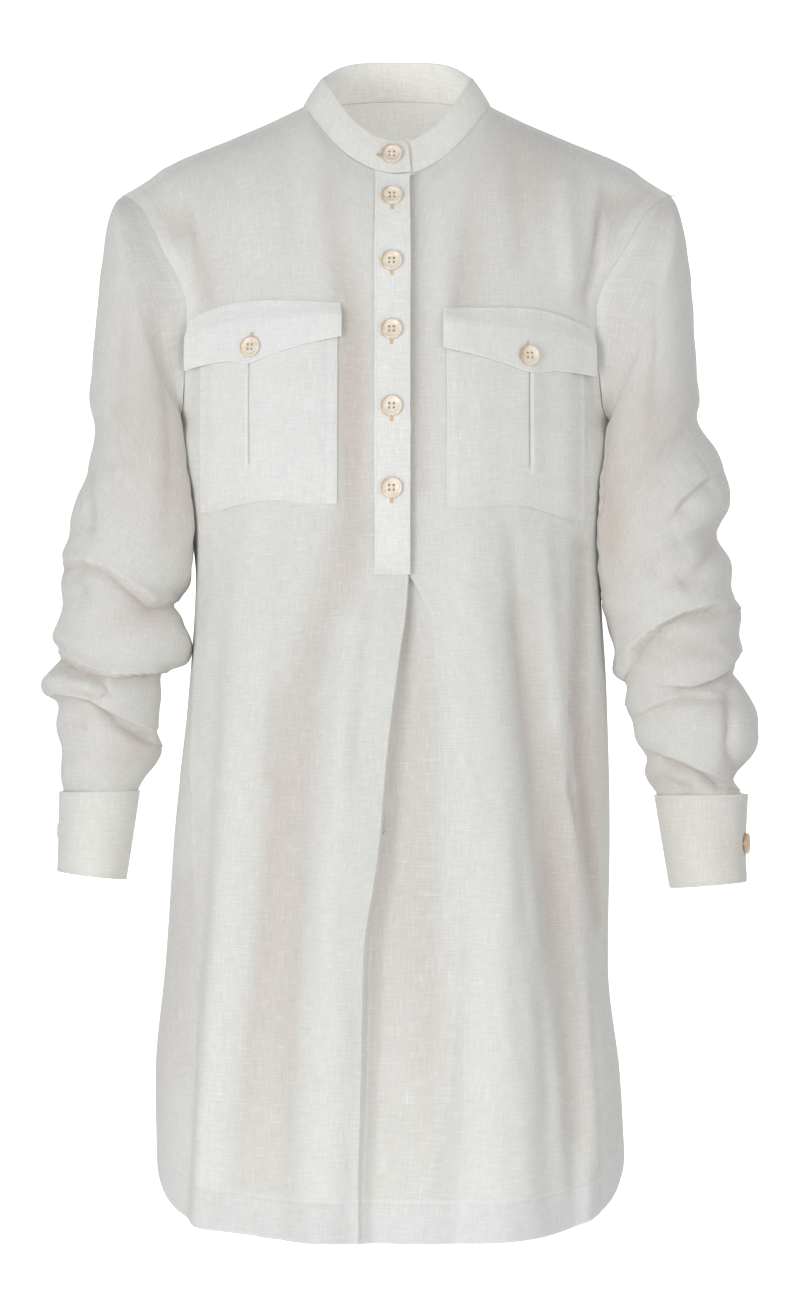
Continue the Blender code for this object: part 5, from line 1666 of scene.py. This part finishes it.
@dataclass
class Pocket(Sewn):
    """A patch pocket with a pleat down its middle, and the pointed flap over its mouth."""

    side: Side
    outline: tuple[Edge, ...]
    flap_outline: tuple[Edge, ...]
    cloth: float = 1.0
    seat: float = 1.3
    swell: float = 2.6
    flap_seat: float = 1.9
    flap_lift: float = 3.6
    pleat_half: float = 0.012
    # How bright the pocket is for lying twice, lowered as painted shade on a side turned away from the light
    doubled: float = 0.66
    stitch_inset: float = 2.0
    groove_depth: float = 1.9
    lip_rise: float = 0.9

    @staticmethod
    def place(edges: tuple[Edge, ...], share: np.ndarray,
              height: np.ndarray) -> tuple[np.ndarray, np.ndarray]:
        """x and z in an outline, at a share of its width and of its height from the bottom."""
        table = np.array(edges)
        knots = np.linspace(0, 1, len(table))
        x, top, bottom = (through(knots, table[:, k], share) for k in range(3))
        return x, bottom + (top - bottom) * height

    def pocket_sheet(self, ground: Ground) -> Sheet:
        """The pocket's grid, laid on the front."""
        near = 0.5 + np.array([-3, -2, -1.3, -0.8, -0.4, 0, 0.4, 0.8, 1.3, 2, 3]) * self.pleat_half
        shares = np.concatenate([np.linspace(0, near[0], 40)[:-1], near, np.linspace(near[-1], 1, 40)[1:]])
        heights = np.linspace(0, 1, 90)
        share, height = pairs(shares, heights)
        x, z = self.place(self.outline, share, height)
        edge = np.minimum.reduce([share * 1.1, (1 - share) * 1.1, height * 1.5, (1 - height) * 2.5])
        off = self.seat + self.swell * smooth(edge / 0.22)
        side = (share - 0.5) / self.pleat_half
        groove = np.exp(-((side / 0.6) ** 2)) * smooth((height - 0.20) / 0.03)
        beside = np.clip(side, 0, 1) * np.exp(-(((share - 0.5) / 0.09) ** 2)) * (height > 0.18)
        off -= groove * self.groove_depth - self.lip_rise * beside
        off += wander(x, z, 31 + self.side.value, (26, 60), 2.0) * 0.35 * smooth(edge / 0.15)
        points = ground.front(x, z, off).reshape(len(heights), len(shares), 3)
        sheet = Sheet(f"pocket_{self.side.word}_cloth", points, (0, 200, -200))
        turned_in = within(np.minimum(share, 1 - share), 0.045, 0.012)
        # Brighter at the turned-in edges, with painted shade in the middle groove
        doubled_and_lit_share = (self.doubled + 0.34 * turned_in) * (1 - groove)
        sheet.marks = {name: values.reshape(len(heights), len(shares))
                       for name, values in (("layers", doubled_and_lit_share), ("warmth", groove))}
        return sheet

    def flap_sheet(self, ground: Ground) -> Sheet:
        """The flap's grid, lifted off the pocket towards its lower edge."""
        shares, heights = np.linspace(0, 1, 90), np.linspace(0, 1, 36)
        share, height = pairs(shares, heights)
        x, z = self.place(self.flap_outline, share, height)
        off = self.flap_seat + self.flap_lift * smooth((1 - height) / 0.42)
        off += wander(x, z, 41 + self.side.value, (30, 70), 1.5) * 0.35 * smooth(height * (1 - height) * 6)
        points = ground.front(x, z, off).reshape(len(heights), len(shares), 3)
        sheet = Sheet(f"flap_{self.side.word}_cloth", points, (0, 200, -200))
        # The flap lies twice again, and takes its side's painted shade as the pocket does
        sheet.marks = {"layers": np.full(points.shape[:2], self.doubled + 0.3)}
        return sheet

    def build(self, ground: Ground) -> Sheet:
        """Makes the pocket, the flap and their stitching, and returns the flap's grid."""
        word = self.side.word
        pocket, flap = self.pocket_sheet(ground), self.flap_sheet(ground)
        patch = self.cut(pocket, self.cloth, "linen_doubled", f"pocket_{word}")
        cover = self.cut(flap, self.cloth, "linen_doubled", f"flap_{word}")
        stitches = Threads(f"pocket_{word}_stitches")
        for sheet in (pocket, flap):
            rows, columns = sheet.points.shape[:2]
            wide, high = run_along(sheet.points[rows // 2]), run_along(sheet.points[:, columns // 2])
            left, right = np.interp([self.stitch_inset, wide[-1] - self.stitch_inset], wide, range(columns))
            low, top = np.interp([self.stitch_inset, high[-1] - self.stitch_inset], high, range(rows))
            up, over = np.linspace(low, top, 60), np.linspace(left, right, 90)
            for line in ((up, left), (low, over), (up, right)):
                stitches.sew(sheet, *line, self.cloth)
        stitches.sew(flap, top, over, self.cloth)
        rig.sheet(patch, flat=(0.12, 0.146), held="hung", rests_on=["front_panel"],
                 with_pieces=[self.sewn(stitches)])
        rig.sheet(cover, flat=(0.125, 0.05), held="hung", rests_on=["front_panel"])
        return flap


@dataclass
class Sleeve(Sewn):
    """A sleeve pushed up into soft folds, and its cuff, whose ends lap at the outer side."""

    side: Side
    form: Form
    rings: tuple[Ring, ...]
    cuff_rings: tuple[Ring, ...]
    creases: tuple[Crease, ...]
    patches: tuple[Patch, ...]
    cloth: float = 0.8
    cuff_cloth: float = 1.5
    beside_body: float = 3.2
    under_lap: float = 1.2
    cuff_opening: float = 4.0
    cuff_underlap: float = 26.0
    cuff_turn: float = 0.0
    crease_gain: float = 1.6
    lap_rise: float = 2.6
    tuck: float = 1.6
    tuck_length: float = 7.0
    seam_allowance: float = 8
    wave_radius: float = 62
    columns: int = 190
    steps_a_ring: int = 11
    cuff_columns: int = 170
    cuff_rows: int = 32

    def ring_points(self, ring: Ring, angle: np.ndarray) -> np.ndarray:
        """The points of a ring, from 0 degrees at its outer side by 90 in front to 180 inside."""
        turn = np.radians(angle)
        outer = np.array([ring.outer_x, ring.mid_y, ring.outer_z])
        inner = np.array([ring.inner_x, ring.mid_y, ring.inner_z])
        middle, arm = (outer + inner) / 2, (outer - inner) / 2
        return middle + np.cos(turn)[:, None] * arm + np.sin(turn)[:, None] * np.array([0, -ring.depth, 0])

    def clear_body(self, points: np.ndarray) -> np.ndarray:
        """Points of a ring, those that would lie in the body moved out to its side."""
        side = self.side.value
        heights = [c.side_z for c in SECTIONS]
        half = np.interp(points[:, 2], heights, [c.right if side < 0 else c.left for c in SECTIONS])
        depths = (np.interp(points[:, 2], heights, [c.faced(face)[0] for c in SECTIONS]) for face in Face)
        depth = np.where(points[:, 1] < 0, *depths)
        level = np.clip(np.abs(points[:, 1]) / depth, 0, 1) ** (1 / self.form.flatness)
        short = half * np.sqrt(1 - level ** 2) + self.beside_body - points[:, 0] * side
        moved = points.copy()
        moved[:, 0] += side * np.clip(short, 0, None) * smooth((-points[:, 2] - 215) / 20)
        return moved

    def evened(self) -> list[Ring]:
        """The rings with their depths evened out, and the end that is tucked into the cuff."""
        depths = np.array([ring.depth for ring in self.rings])
        padded = np.pad(depths, 2, mode="edge")
        even = np.convolve(padded, np.array([1, 2, 3, 2, 1]) / 9, mode="valid")
        rings = [ring._replace(depth=depth) for ring, depth in zip(self.rings, depths * 0.35 + even * 0.65)]
        end, side = self.rings[-1], self.side.value
        for share in (1.0, 1.15):
            low = (share - 1) / 0.15 * self.tuck_length
            rings.append(Ring(end.outer_x - side * self.tuck * share, end.outer_z - low,
                              end.inner_x + side * self.tuck * share, end.inner_z - low,
                              end.depth - self.tuck * share, end.mid_y))
        del rings[-3]
        return rings

    def sleeve_sheet(self) -> Sheet:
        """The sleeve's grid, from the armhole's seam to the cuff's."""
        angle = np.linspace(0, 360, self.columns)
        turn = angle % 360
        edge, out = self.form.armhole(self.side, turn)
        keys = [edge] + [self.clear_body(self.ring_points(ring, turn)) for ring in self.evened()]
        under = smooth((88 - np.abs(turn - 180)) / 45)[:, None]
        keys[0] = keys[0] + out * (self.under_lap * under - 0.35 * (1 - under))
        along = np.linspace(0, len(keys) - 1, (len(keys) - 1) * self.steps_a_ring + 1)
        knots, keys = np.arange(len(keys)), np.stack(keys)
        points = np.stack([through(knots, keys, np.full(self.columns, t)) for t in along])
        inside = (self.side.value * 210, -18, -330)
        plain = Sheet("plain", points, inside)
        rise, warmth = self.crease_rise(points, plain.normals(), along)
        points = points + plain.normals() * rise[..., None]
        points[:, -1] = points[:, 0]
        sheet = Sheet(f"sleeve_{self.side.word}_cloth", points, inside, closed=True)
        seam = within(run_along(points), self.seam_allowance) * SEAM_DOUBLING
        # Seam allowance lying twice, and the painted shade of creases and patches
        sheet.marks = {"layers": seam, "warmth": np.clip(warmth, 0, 1)}
        return sheet

    def crease_rise(self, points: np.ndarray, out: np.ndarray,
                    along: np.ndarray) -> tuple[np.ndarray, np.ndarray]:
        """How far the creases lift or sink the cloth, and where painted shade darkens it.

        Args:
            points: the plain sleeve's grid.
            out: the way out at each point.
            along: each row's place from the armhole (0) to the cuff.

        Returns:
            The rise in mm, and the painted shade from 0 to 1.
        """
        rows, columns = points.shape[:2]
        view = points.reshape(-1, 3)[:, [0, 2]]
        facing = out[..., 1].reshape(-1)
        rise = np.zeros(len(view))
        valley = np.zeros(len(view))
        for crease in self.creases:
            toward = smooth((crease.face.value * facing + 0.45) / 0.8)
            off, share = off_line(view, np.array(crease.line, float))
            fade = smooth((1 - np.abs(share - 0.5) * 2) / 0.3) * 0.75 + 0.25
            reach = crease.width * (1 + 0.25 * np.sin(share * 9))
            above = smooth((off + 2) / 4) if crease.over else np.zeros(len(off))
            trough = np.exp(-np.abs(off / reach) ** 1.5) * (1 - above)
            swell = np.exp(-((off / (2.6 * crease.width)) ** 2)) * above
            rise += (crease.over * swell - trough * crease.deep) * fade * toward * self.crease_gain
            # Painted shade in each crease's trough, on the side it shows on
            valley += trough * toward * max(crease.deep, 0) / 7
        rise, valley = rise.reshape(rows, columns), valley.reshape(rows, columns)
        round_way = np.arange(columns) / (columns - 1) * 2 * math.pi
        down = along[:, None] / along[-1]
        u, w = (self.wave_radius * np.tile(way, (rows, 1)) for way in (np.sin(round_way), np.cos(round_way)))
        z = points[..., 2]
        soft = wander(z + w * 0.25, u, 50 + self.side.value, (22, 60), 3.0)
        soft += wander(z - u * 0.3, w, 60 + self.side.value, (22, 60), 3.0)
        rise += soft * (0.25 + 0.75 * smooth(down * 1.6)) * 0.55
        ends = smooth(along / 0.8)[:, None] * smooth((along[-1] - along) / 0.7)[:, None]
        # Painted shade over the sleeve below its top, in faint random patches and in the listed patches by the body
        patches = wander(u, z, 70 + self.side.value, (60, 140), 1.2)
        patches = 0.15 * smooth(down * 3) + np.clip(patches, 0, 1) * 0.12 + warmed(points, self.patches)
        return rise * ends, valley * 0.8 + patches

    def cuff_sheet(self) -> Sheet:
        """The cuff's grid, from its upper end round to its under end."""
        table = np.array(self.cuff_rings)
        turns = np.linspace(self.cuff_opening, 360 + self.cuff_underlap, self.cuff_columns)
        heights = np.linspace(0, len(table) - 1, self.cuff_rows)
        points = np.zeros((len(heights), len(turns), 3))
        for j, height in enumerate(heights):
            ring = Ring(*[through([0, 1, 2], table[:, k], np.array([height]))[0] for k in range(6)])
            row = self.ring_points(ring, (turns + self.cuff_turn) % 360)
            middle = np.stack([np.full(len(row), (ring.outer_x + ring.inner_x) / 2),
                               np.full(len(row), ring.mid_y * 0.7), row[:, 2]], axis=1)
            away = row - middle
            away /= np.linalg.norm(away, axis=1, keepdims=True)
            lap = self.lap_rise * (1 - smooth((turns - self.cuff_underlap - 3) / 45))
            points[j] = row + away * lap[:, None]
        inside = ((table[1, 0] + table[1, 2]) / 2, table[1, 5], -570)
        sheet = Sheet(f"cuff_{self.side.word}_cloth", points, inside)
        # Painted shade, darker on the left cuff, which turns away from the light
        sheet.marks = {"warmth": np.full(points.shape[:2], 0.1 + self.side.value * 0.08)}
        return sheet

    def build(self) -> Sheet:
        """Makes the sleeve, the cuff and its stitching, and returns the cuff's grid."""
        word = self.side.word
        arm, band = self.sleeve_sheet(), self.cuff_sheet()
        sleeve = self.cut(arm, self.cloth, "linen", f"sleeve_{word}")
        cuff = self.cut(band, self.cuff_cloth, "linen_doubled", f"cuff_{word}")
        stitches = Threads(f"cuff_{word}_stitches")
        rows, columns = band.points.shape[:2]
        edges = 0.9, rows - 1.9
        for row in edges:
            stitches.sew(band, row, np.linspace(1, columns - 2, 200), self.cuff_cloth)
        stitches.sew(band, np.linspace(*edges, 60), 1.0, self.cuff_cloth)
        sewn = self.sewn(stitches)
        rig.sheet(sleeve, flat=(0.40, 0.50), held="gathered", area=0.175)
        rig.sheet(cuff, flat=(0.232, 0.068), held="stretched", with_pieces=[sewn])
        return band


@dataclass
class Buttons(Sewn):
    """Turned buttons with a raised rim and four sewn holes, made once and copied. Insets are a share of
    the radius wide and a share of the thickness deep, on the top and on the underside."""

    radius: float = 8
    thick: float = 2.8
    hole: float = 0.95
    hole_out: float = 1.75
    steps: int = 48
    top_insets: tuple[tuple[float, float], ...] = ((0.17, 0), (0.17, -0.30), (0.18, -0.08))
    low_insets: tuple[tuple[float, float], ...] = ((0.14, 0), (0.10, 0))

    def __post_init__(self) -> None:
        """Makes the button to copy."""
        self.master = self.turned()

    def turned(self) -> bpy.types.Object:
        """One button round the Z axis, its underside at the origin."""
        r, t = self.radius * MM, self.thick * MM
        deselect()
        bpy.ops.mesh.primitive_cylinder_add(vertices=self.steps, radius=r, depth=t, location=(0, 0, t / 2))
        piece = bpy.context.object
        bpy.ops.object.transform_apply(location=True)
        for way, insets in ((1, self.top_insets), (-1, self.low_insets)):
            self.pick_face(piece, way)
            with editing():
                for share, depth in insets:
                    bpy.ops.mesh.inset(thickness=r * share, depth=t * depth)
        edge = piece.modifiers.new("soft_edges", "BEVEL")
        edge.width, edge.segments, edge.limit_method = t * 0.16, 3, "ANGLE"
        edge.angle_limit = math.radians(25)
        pick(piece)
        bpy.ops.object.modifier_apply(modifier=edge.name)
        for x in (-1, 1):
            for y in (-1, 1):
                self.drill(piece, x * self.hole_out * MM, y * self.hole_out * MM)
        pick(piece)
        bpy.ops.object.shade_smooth_by_angle(angle=math.radians(35))
        piece.data.materials.clear()
        piece.data.materials.append(self.finishes.button)
        x, y, _ = read(piece.data, "vertices", "co", 3).T / r
        mark(piece.data, "rim", np.hypot(x, y) + (y * 0.5 - x) * 0.28)
        return piece

    @staticmethod
    def pick_face(piece: bpy.types.Object, way: int) -> None:
        """Selects only the large flat face that looks up (1) or down (-1)."""
        pick(piece)
        with editing():
            bpy.ops.mesh.select_mode(type="FACE")
            bpy.ops.mesh.select_all(action="DESELECT")
        flat = max((p for p in piece.data.polygons if p.normal.z * way > 0.9), key=lambda p: p.area)
        flat.select = True

    def drill(self, piece: bpy.types.Object, x: float, y: float) -> None:
        """Cuts one hole through the button."""
        deselect()
        bpy.ops.mesh.primitive_cylinder_add(vertices=16, radius=self.hole * MM, depth=0.02,
                                            location=(x, y, 0))
        bit = bpy.context.object
        cut = piece.modifiers.new("hole", "BOOLEAN")
        cut.operation, cut.solver, cut.object = "DIFFERENCE", "EXACT", bit
        pick(piece)
        bpy.ops.object.modifier_apply(modifier=cut.name)
        discard(bit)

    def sew(self, node: str, place: np.ndarray, out: np.ndarray, threads: Threads, up: np.ndarray) -> None:
        """Seats a copy on the cloth and sews it on.

        Args:
            node: the node that it stands for.
            place: the point under its middle, on the cloth's outer face, in mm.
            out: the way out of the cloth there.
            threads: the sewing thread's beads.
            up: the way that its holes are lined up with.
        """
        across = np.cross(up, out)
        across /= np.linalg.norm(across)
        frame = Matrix(np.stack([across, np.cross(out, across), out], axis=1).tolist()).to_4x4()
        mesh = self.master.data.copy()
        mesh.transform(Matrix.Translation(Vector(place) * MM) @ frame)
        settle(link(f"{node}_turned", mesh), "button", node)
        lift = place + out * (self.thick * 0.60 + 0.15)
        aside = np.cross(out, across)
        for way in (-1, 1):
            threads.bar(lift + across * way * self.hole_out, aside, out, self.hole_out * 2 + 1.2, 0.42)
        threads.bar(place - out * 0.1, out, across, 1.4, 1.1)


@dataclass
class Fastenings(Sewn):
    """The buttons and buttonholes of the whole blouse."""

    button_x: float = -4
    placket_z: tuple[float, ...] = (-76, -127, -180, -239, -301)
    collar_z: float = -43
    flap_drop: float = 11
    cuff_angle: float = 14
    hole_length: float = 13.0
    hole_shift: float = 4.2
    hole_lift: float = 0.1
    start_off: float = 30
    gap: float = 0.35

    def __post_init__(self) -> None:
        """Makes the button to copy, and starts the threads."""
        self.buttons = Buttons(self.finishes)
        self.sewing, self.holes = Threads("button_threads"), Threads("buttonholes")

    def build(self, placket: Sheet, collar: Sheet, flaps: dict[Side, Sheet],
              cuffs: dict[Side, Sheet]) -> None:
        """Seats every button and works every buttonhole.

        Args:
            placket: the upper placket's grid.
            collar: the band's grid.
            flaps: each side's flap.
            cuffs: each side's cuff.
        """
        ground = Ground(placket)
        for number, z in enumerate(self.placket_z, start=1):
            self.fasten(f"button_placket_{number}", ground, np.array([self.button_x, AHEAD_Y, z]), TO_BACK,
                        UP, -self.hole_shift, Placket.over_cloth)
        self.fasten("button_collar", Ground(collar), np.array([self.button_x, AHEAD_Y, self.collar_z]),
                    TO_BACK, np.array([1.0, 0, 0]), -self.hole_shift, Collar.cloth)
        for side, flap in flaps.items():
            point = (RIGHT_FLAP if side is Side.RIGHT else LEFT_FLAP)[FLAP_POINT]
            start = np.array([point.x, AHEAD_Y, (point.top + point.bottom) / 2 - self.flap_drop])
            self.fasten(f"button_flap_{side.word}", Ground(flap), start, TO_BACK, UP, self.hole_shift,
                        Pocket.cloth)
        for side, cuff in cuffs.items():
            rows, columns = cuff.points.shape[:2]
            first, last = Sleeve.cuff_opening, 360 + Sleeve.cuff_underlap
            column = (self.cuff_angle - first) / (last - first) * (columns - 1)
            (place,), (out,) = cuff.at(np.array([(rows - 1) / 2]), np.array([column]))
            self.fasten(f"button_cuff_{side.word}", Ground(cuff), place + out * self.start_off, -out,
                        np.cross(out, UP), 0.0, Sleeve.cuff_cloth)
        discard(self.buttons.master)
        for threads in (self.sewing, self.holes):
            settle(threads.piece(self.finishes.gold_thread), "linen_doubled")

    def fasten(self, node: str, ground: Ground, start: np.ndarray, way: np.ndarray, along: np.ndarray,
               shift: float, cloth: float) -> None:
        """Seats one button where a line meets its cloth, and works its buttonhole.

        Args:
            node: the button's node.
            ground: the cloth.
            start: a point in front of the cloth.
            way: the line's way to the cloth.
            along: the way that the buttonhole runs.
            shift: how far along the buttonhole's middle lies from the button's.
            cloth: the cloth's thickness.
        """
        hit, out = ground.met(start, way)
        run = along - out * (along @ out)
        run /= np.linalg.norm(run)
        place, facing = ground.met(start + run * shift, way)
        middle = place + facing * (cloth / 2 + self.hole_lift)
        self.holes.buttonhole(middle, run, facing, self.hole_length)
        rises = []
        for turn in np.linspace(0, 2 * math.pi, 9)[:-1]:
            aside = (run * math.cos(turn) + np.cross(out, run) * math.sin(turn)) * self.buttons.radius * 0.8
            try:
                rises.append((ground.met(start + aside, way)[0] - hit) @ out)
            except ValueError:
                continue
        seat = hit + out * (max(0, *rises) + cloth / 2 + self.gap)
        self.buttons.sew(node, seat, out, self.sewing, UP)


class Lamp(NamedTuple):
    """A soft square light: its place, size and power, where it looks, and how wide it shines."""

    name: str
    place: tuple[float, float, float]
    size: float
    power: float
    aim: tuple[float, float, float] = (0, 0, -0.42)
    spread: float = 180


LAMPS = (
    Lamp("key", (-2.0, -3.2, -0.6), 1.6, 54),
    Lamp("fill", (2.4, -2.9, -0.5), 2.0, 20),
    Lamp("front_light", (0.3, -4.3, 0.8), 1.2, 25),
    Lamp("back_light", (0.6, 2.4, 1.3), 1.8, 8),
    Lamp("neck_light", (0, -0.01, -0.13), 0.08, 0.034, (0, 0.06, 0.01), 100),
)


@dataclass
class Studio:
    """The floor, the soft lights and the camera at the photograph's angle."""

    distance: float = 5.0
    middle_x: float = 0.0023
    middle_z: float = -0.4302
    frame_height: float = 1.0257
    floor_z: float = -1.42
    world: float = 0.455
    backdrop: float = 1.05

    def build(self) -> None:
        """Makes the studio."""
        scene = bpy.context.scene
        scene.view_settings.view_transform = "Standard"
        self.floor()
        self.back_wall()
        for lamp in LAMPS:
            self.light(lamp)
        world = bpy.data.worlds.new("soft_surround")
        world.use_nodes = True
        ground = world.node_tree.nodes["Background"]
        ground.inputs["Color"].default_value = (1.0, 1.0, 1.0, 1)
        ground.inputs["Strength"].default_value = self.world
        scene.world = world
        lens = bpy.data.cameras.new("photo_view")
        lens.sensor_width = 36
        lens.lens = 18 / (self.frame_height / 2 / self.distance)
        scene.camera = link("photo_view", lens)
        scene.camera.location = (self.middle_x, -self.distance, self.middle_z)
        scene.camera.rotation_euler = (math.radians(90), 0, 0)

    def floor(self) -> None:
        """A plain pale floor, as far below as the wearer's feet."""
        deselect()
        place = (0, 0, self.floor_z)
        bpy.ops.mesh.primitive_circle_add(vertices=96, radius=2.6, fill_type="NGON", location=place)
        piece = bpy.context.object
        piece.name = "floor"
        piece.data.materials.append(FloorFinish("floor_paint").make())
        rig.stage(piece)

    def back_wall(self) -> None:
        """A white lit backdrop, far behind the blouse."""
        deselect()
        upright = (math.radians(90), 0, 0)
        bpy.ops.mesh.primitive_plane_add(size=13.5, location=(0, 12, -0.4), rotation=upright)
        piece = bpy.context.object
        piece.name = "backdrop"
        piece.data.materials.append(Graph("white_backdrop").shaded({
            "Base Color": (0.9, 0.9, 0.9, 1), "Emission Color": (1, 1, 1, 1),
            "Emission Strength": self.backdrop}))
        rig.stage(piece)

    @staticmethod
    def light(lamp: Lamp) -> None:
        """A light that the camera doesn't see."""
        data = bpy.data.lights.new(lamp.name, "AREA")
        data.shape, data.size, data.energy = "SQUARE", lamp.size, lamp.power
        data.spread = math.radians(lamp.spread)
        made = link(lamp.name, data)
        made.location, made.visible_camera = lamp.place, False
        way = Vector(lamp.aim) - Vector(lamp.place)
        made.rotation_euler = way.to_track_quat("-Z", "Y").to_euler()


def corners() -> list[list[float]]:
    """The shown object's lowest and highest corners as plain numbers."""
    return [list(map(float, corner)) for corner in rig.bounds()]


def main() -> None:
    """Builds the blouse's pieces in order, then the studio."""
    logging.basicConfig(level=logging.INFO, format="%(name)s %(message)s")
    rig.load()
    packed = corners()
    finishes, form = Materials.made(), Form()
    ground = Ground(Torso(finishes, form).build())
    collar = Collar(finishes, form).build()
    placket = Placket(finishes, form).build()
    flaps = {
        Side.RIGHT: Pocket(finishes, Side.RIGHT, RIGHT_POCKET, RIGHT_FLAP).build(ground),
        # The left pocket and flap take painted shade, on the side away from the light
        Side.LEFT: Pocket(finishes, Side.LEFT, LEFT_POCKET, LEFT_FLAP, doubled=0.15).build(ground),
    }
    cuffs = {
        Side.RIGHT: Sleeve(finishes, Side.RIGHT, form, RIGHT_SLEEVE, RIGHT_CUFF, RIGHT_CREASES,
                           RIGHT_PATCHES, cuff_turn=-45.0).build(),
        Side.LEFT: Sleeve(finishes, Side.LEFT, form, LEFT_SLEEVE, LEFT_CUFF, LEFT_CREASES,
                          LEFT_PATCHES).build(),
    }
    Fastenings(finishes).build(placket, collar, flaps, cuffs)
    Studio().build()
    deselect()
    with open("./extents.json", "w", encoding="utf-8") as file:
        json.dump({"packed": packed, "dressed": corners()}, file)


if __name__ == "__main__":
    main()
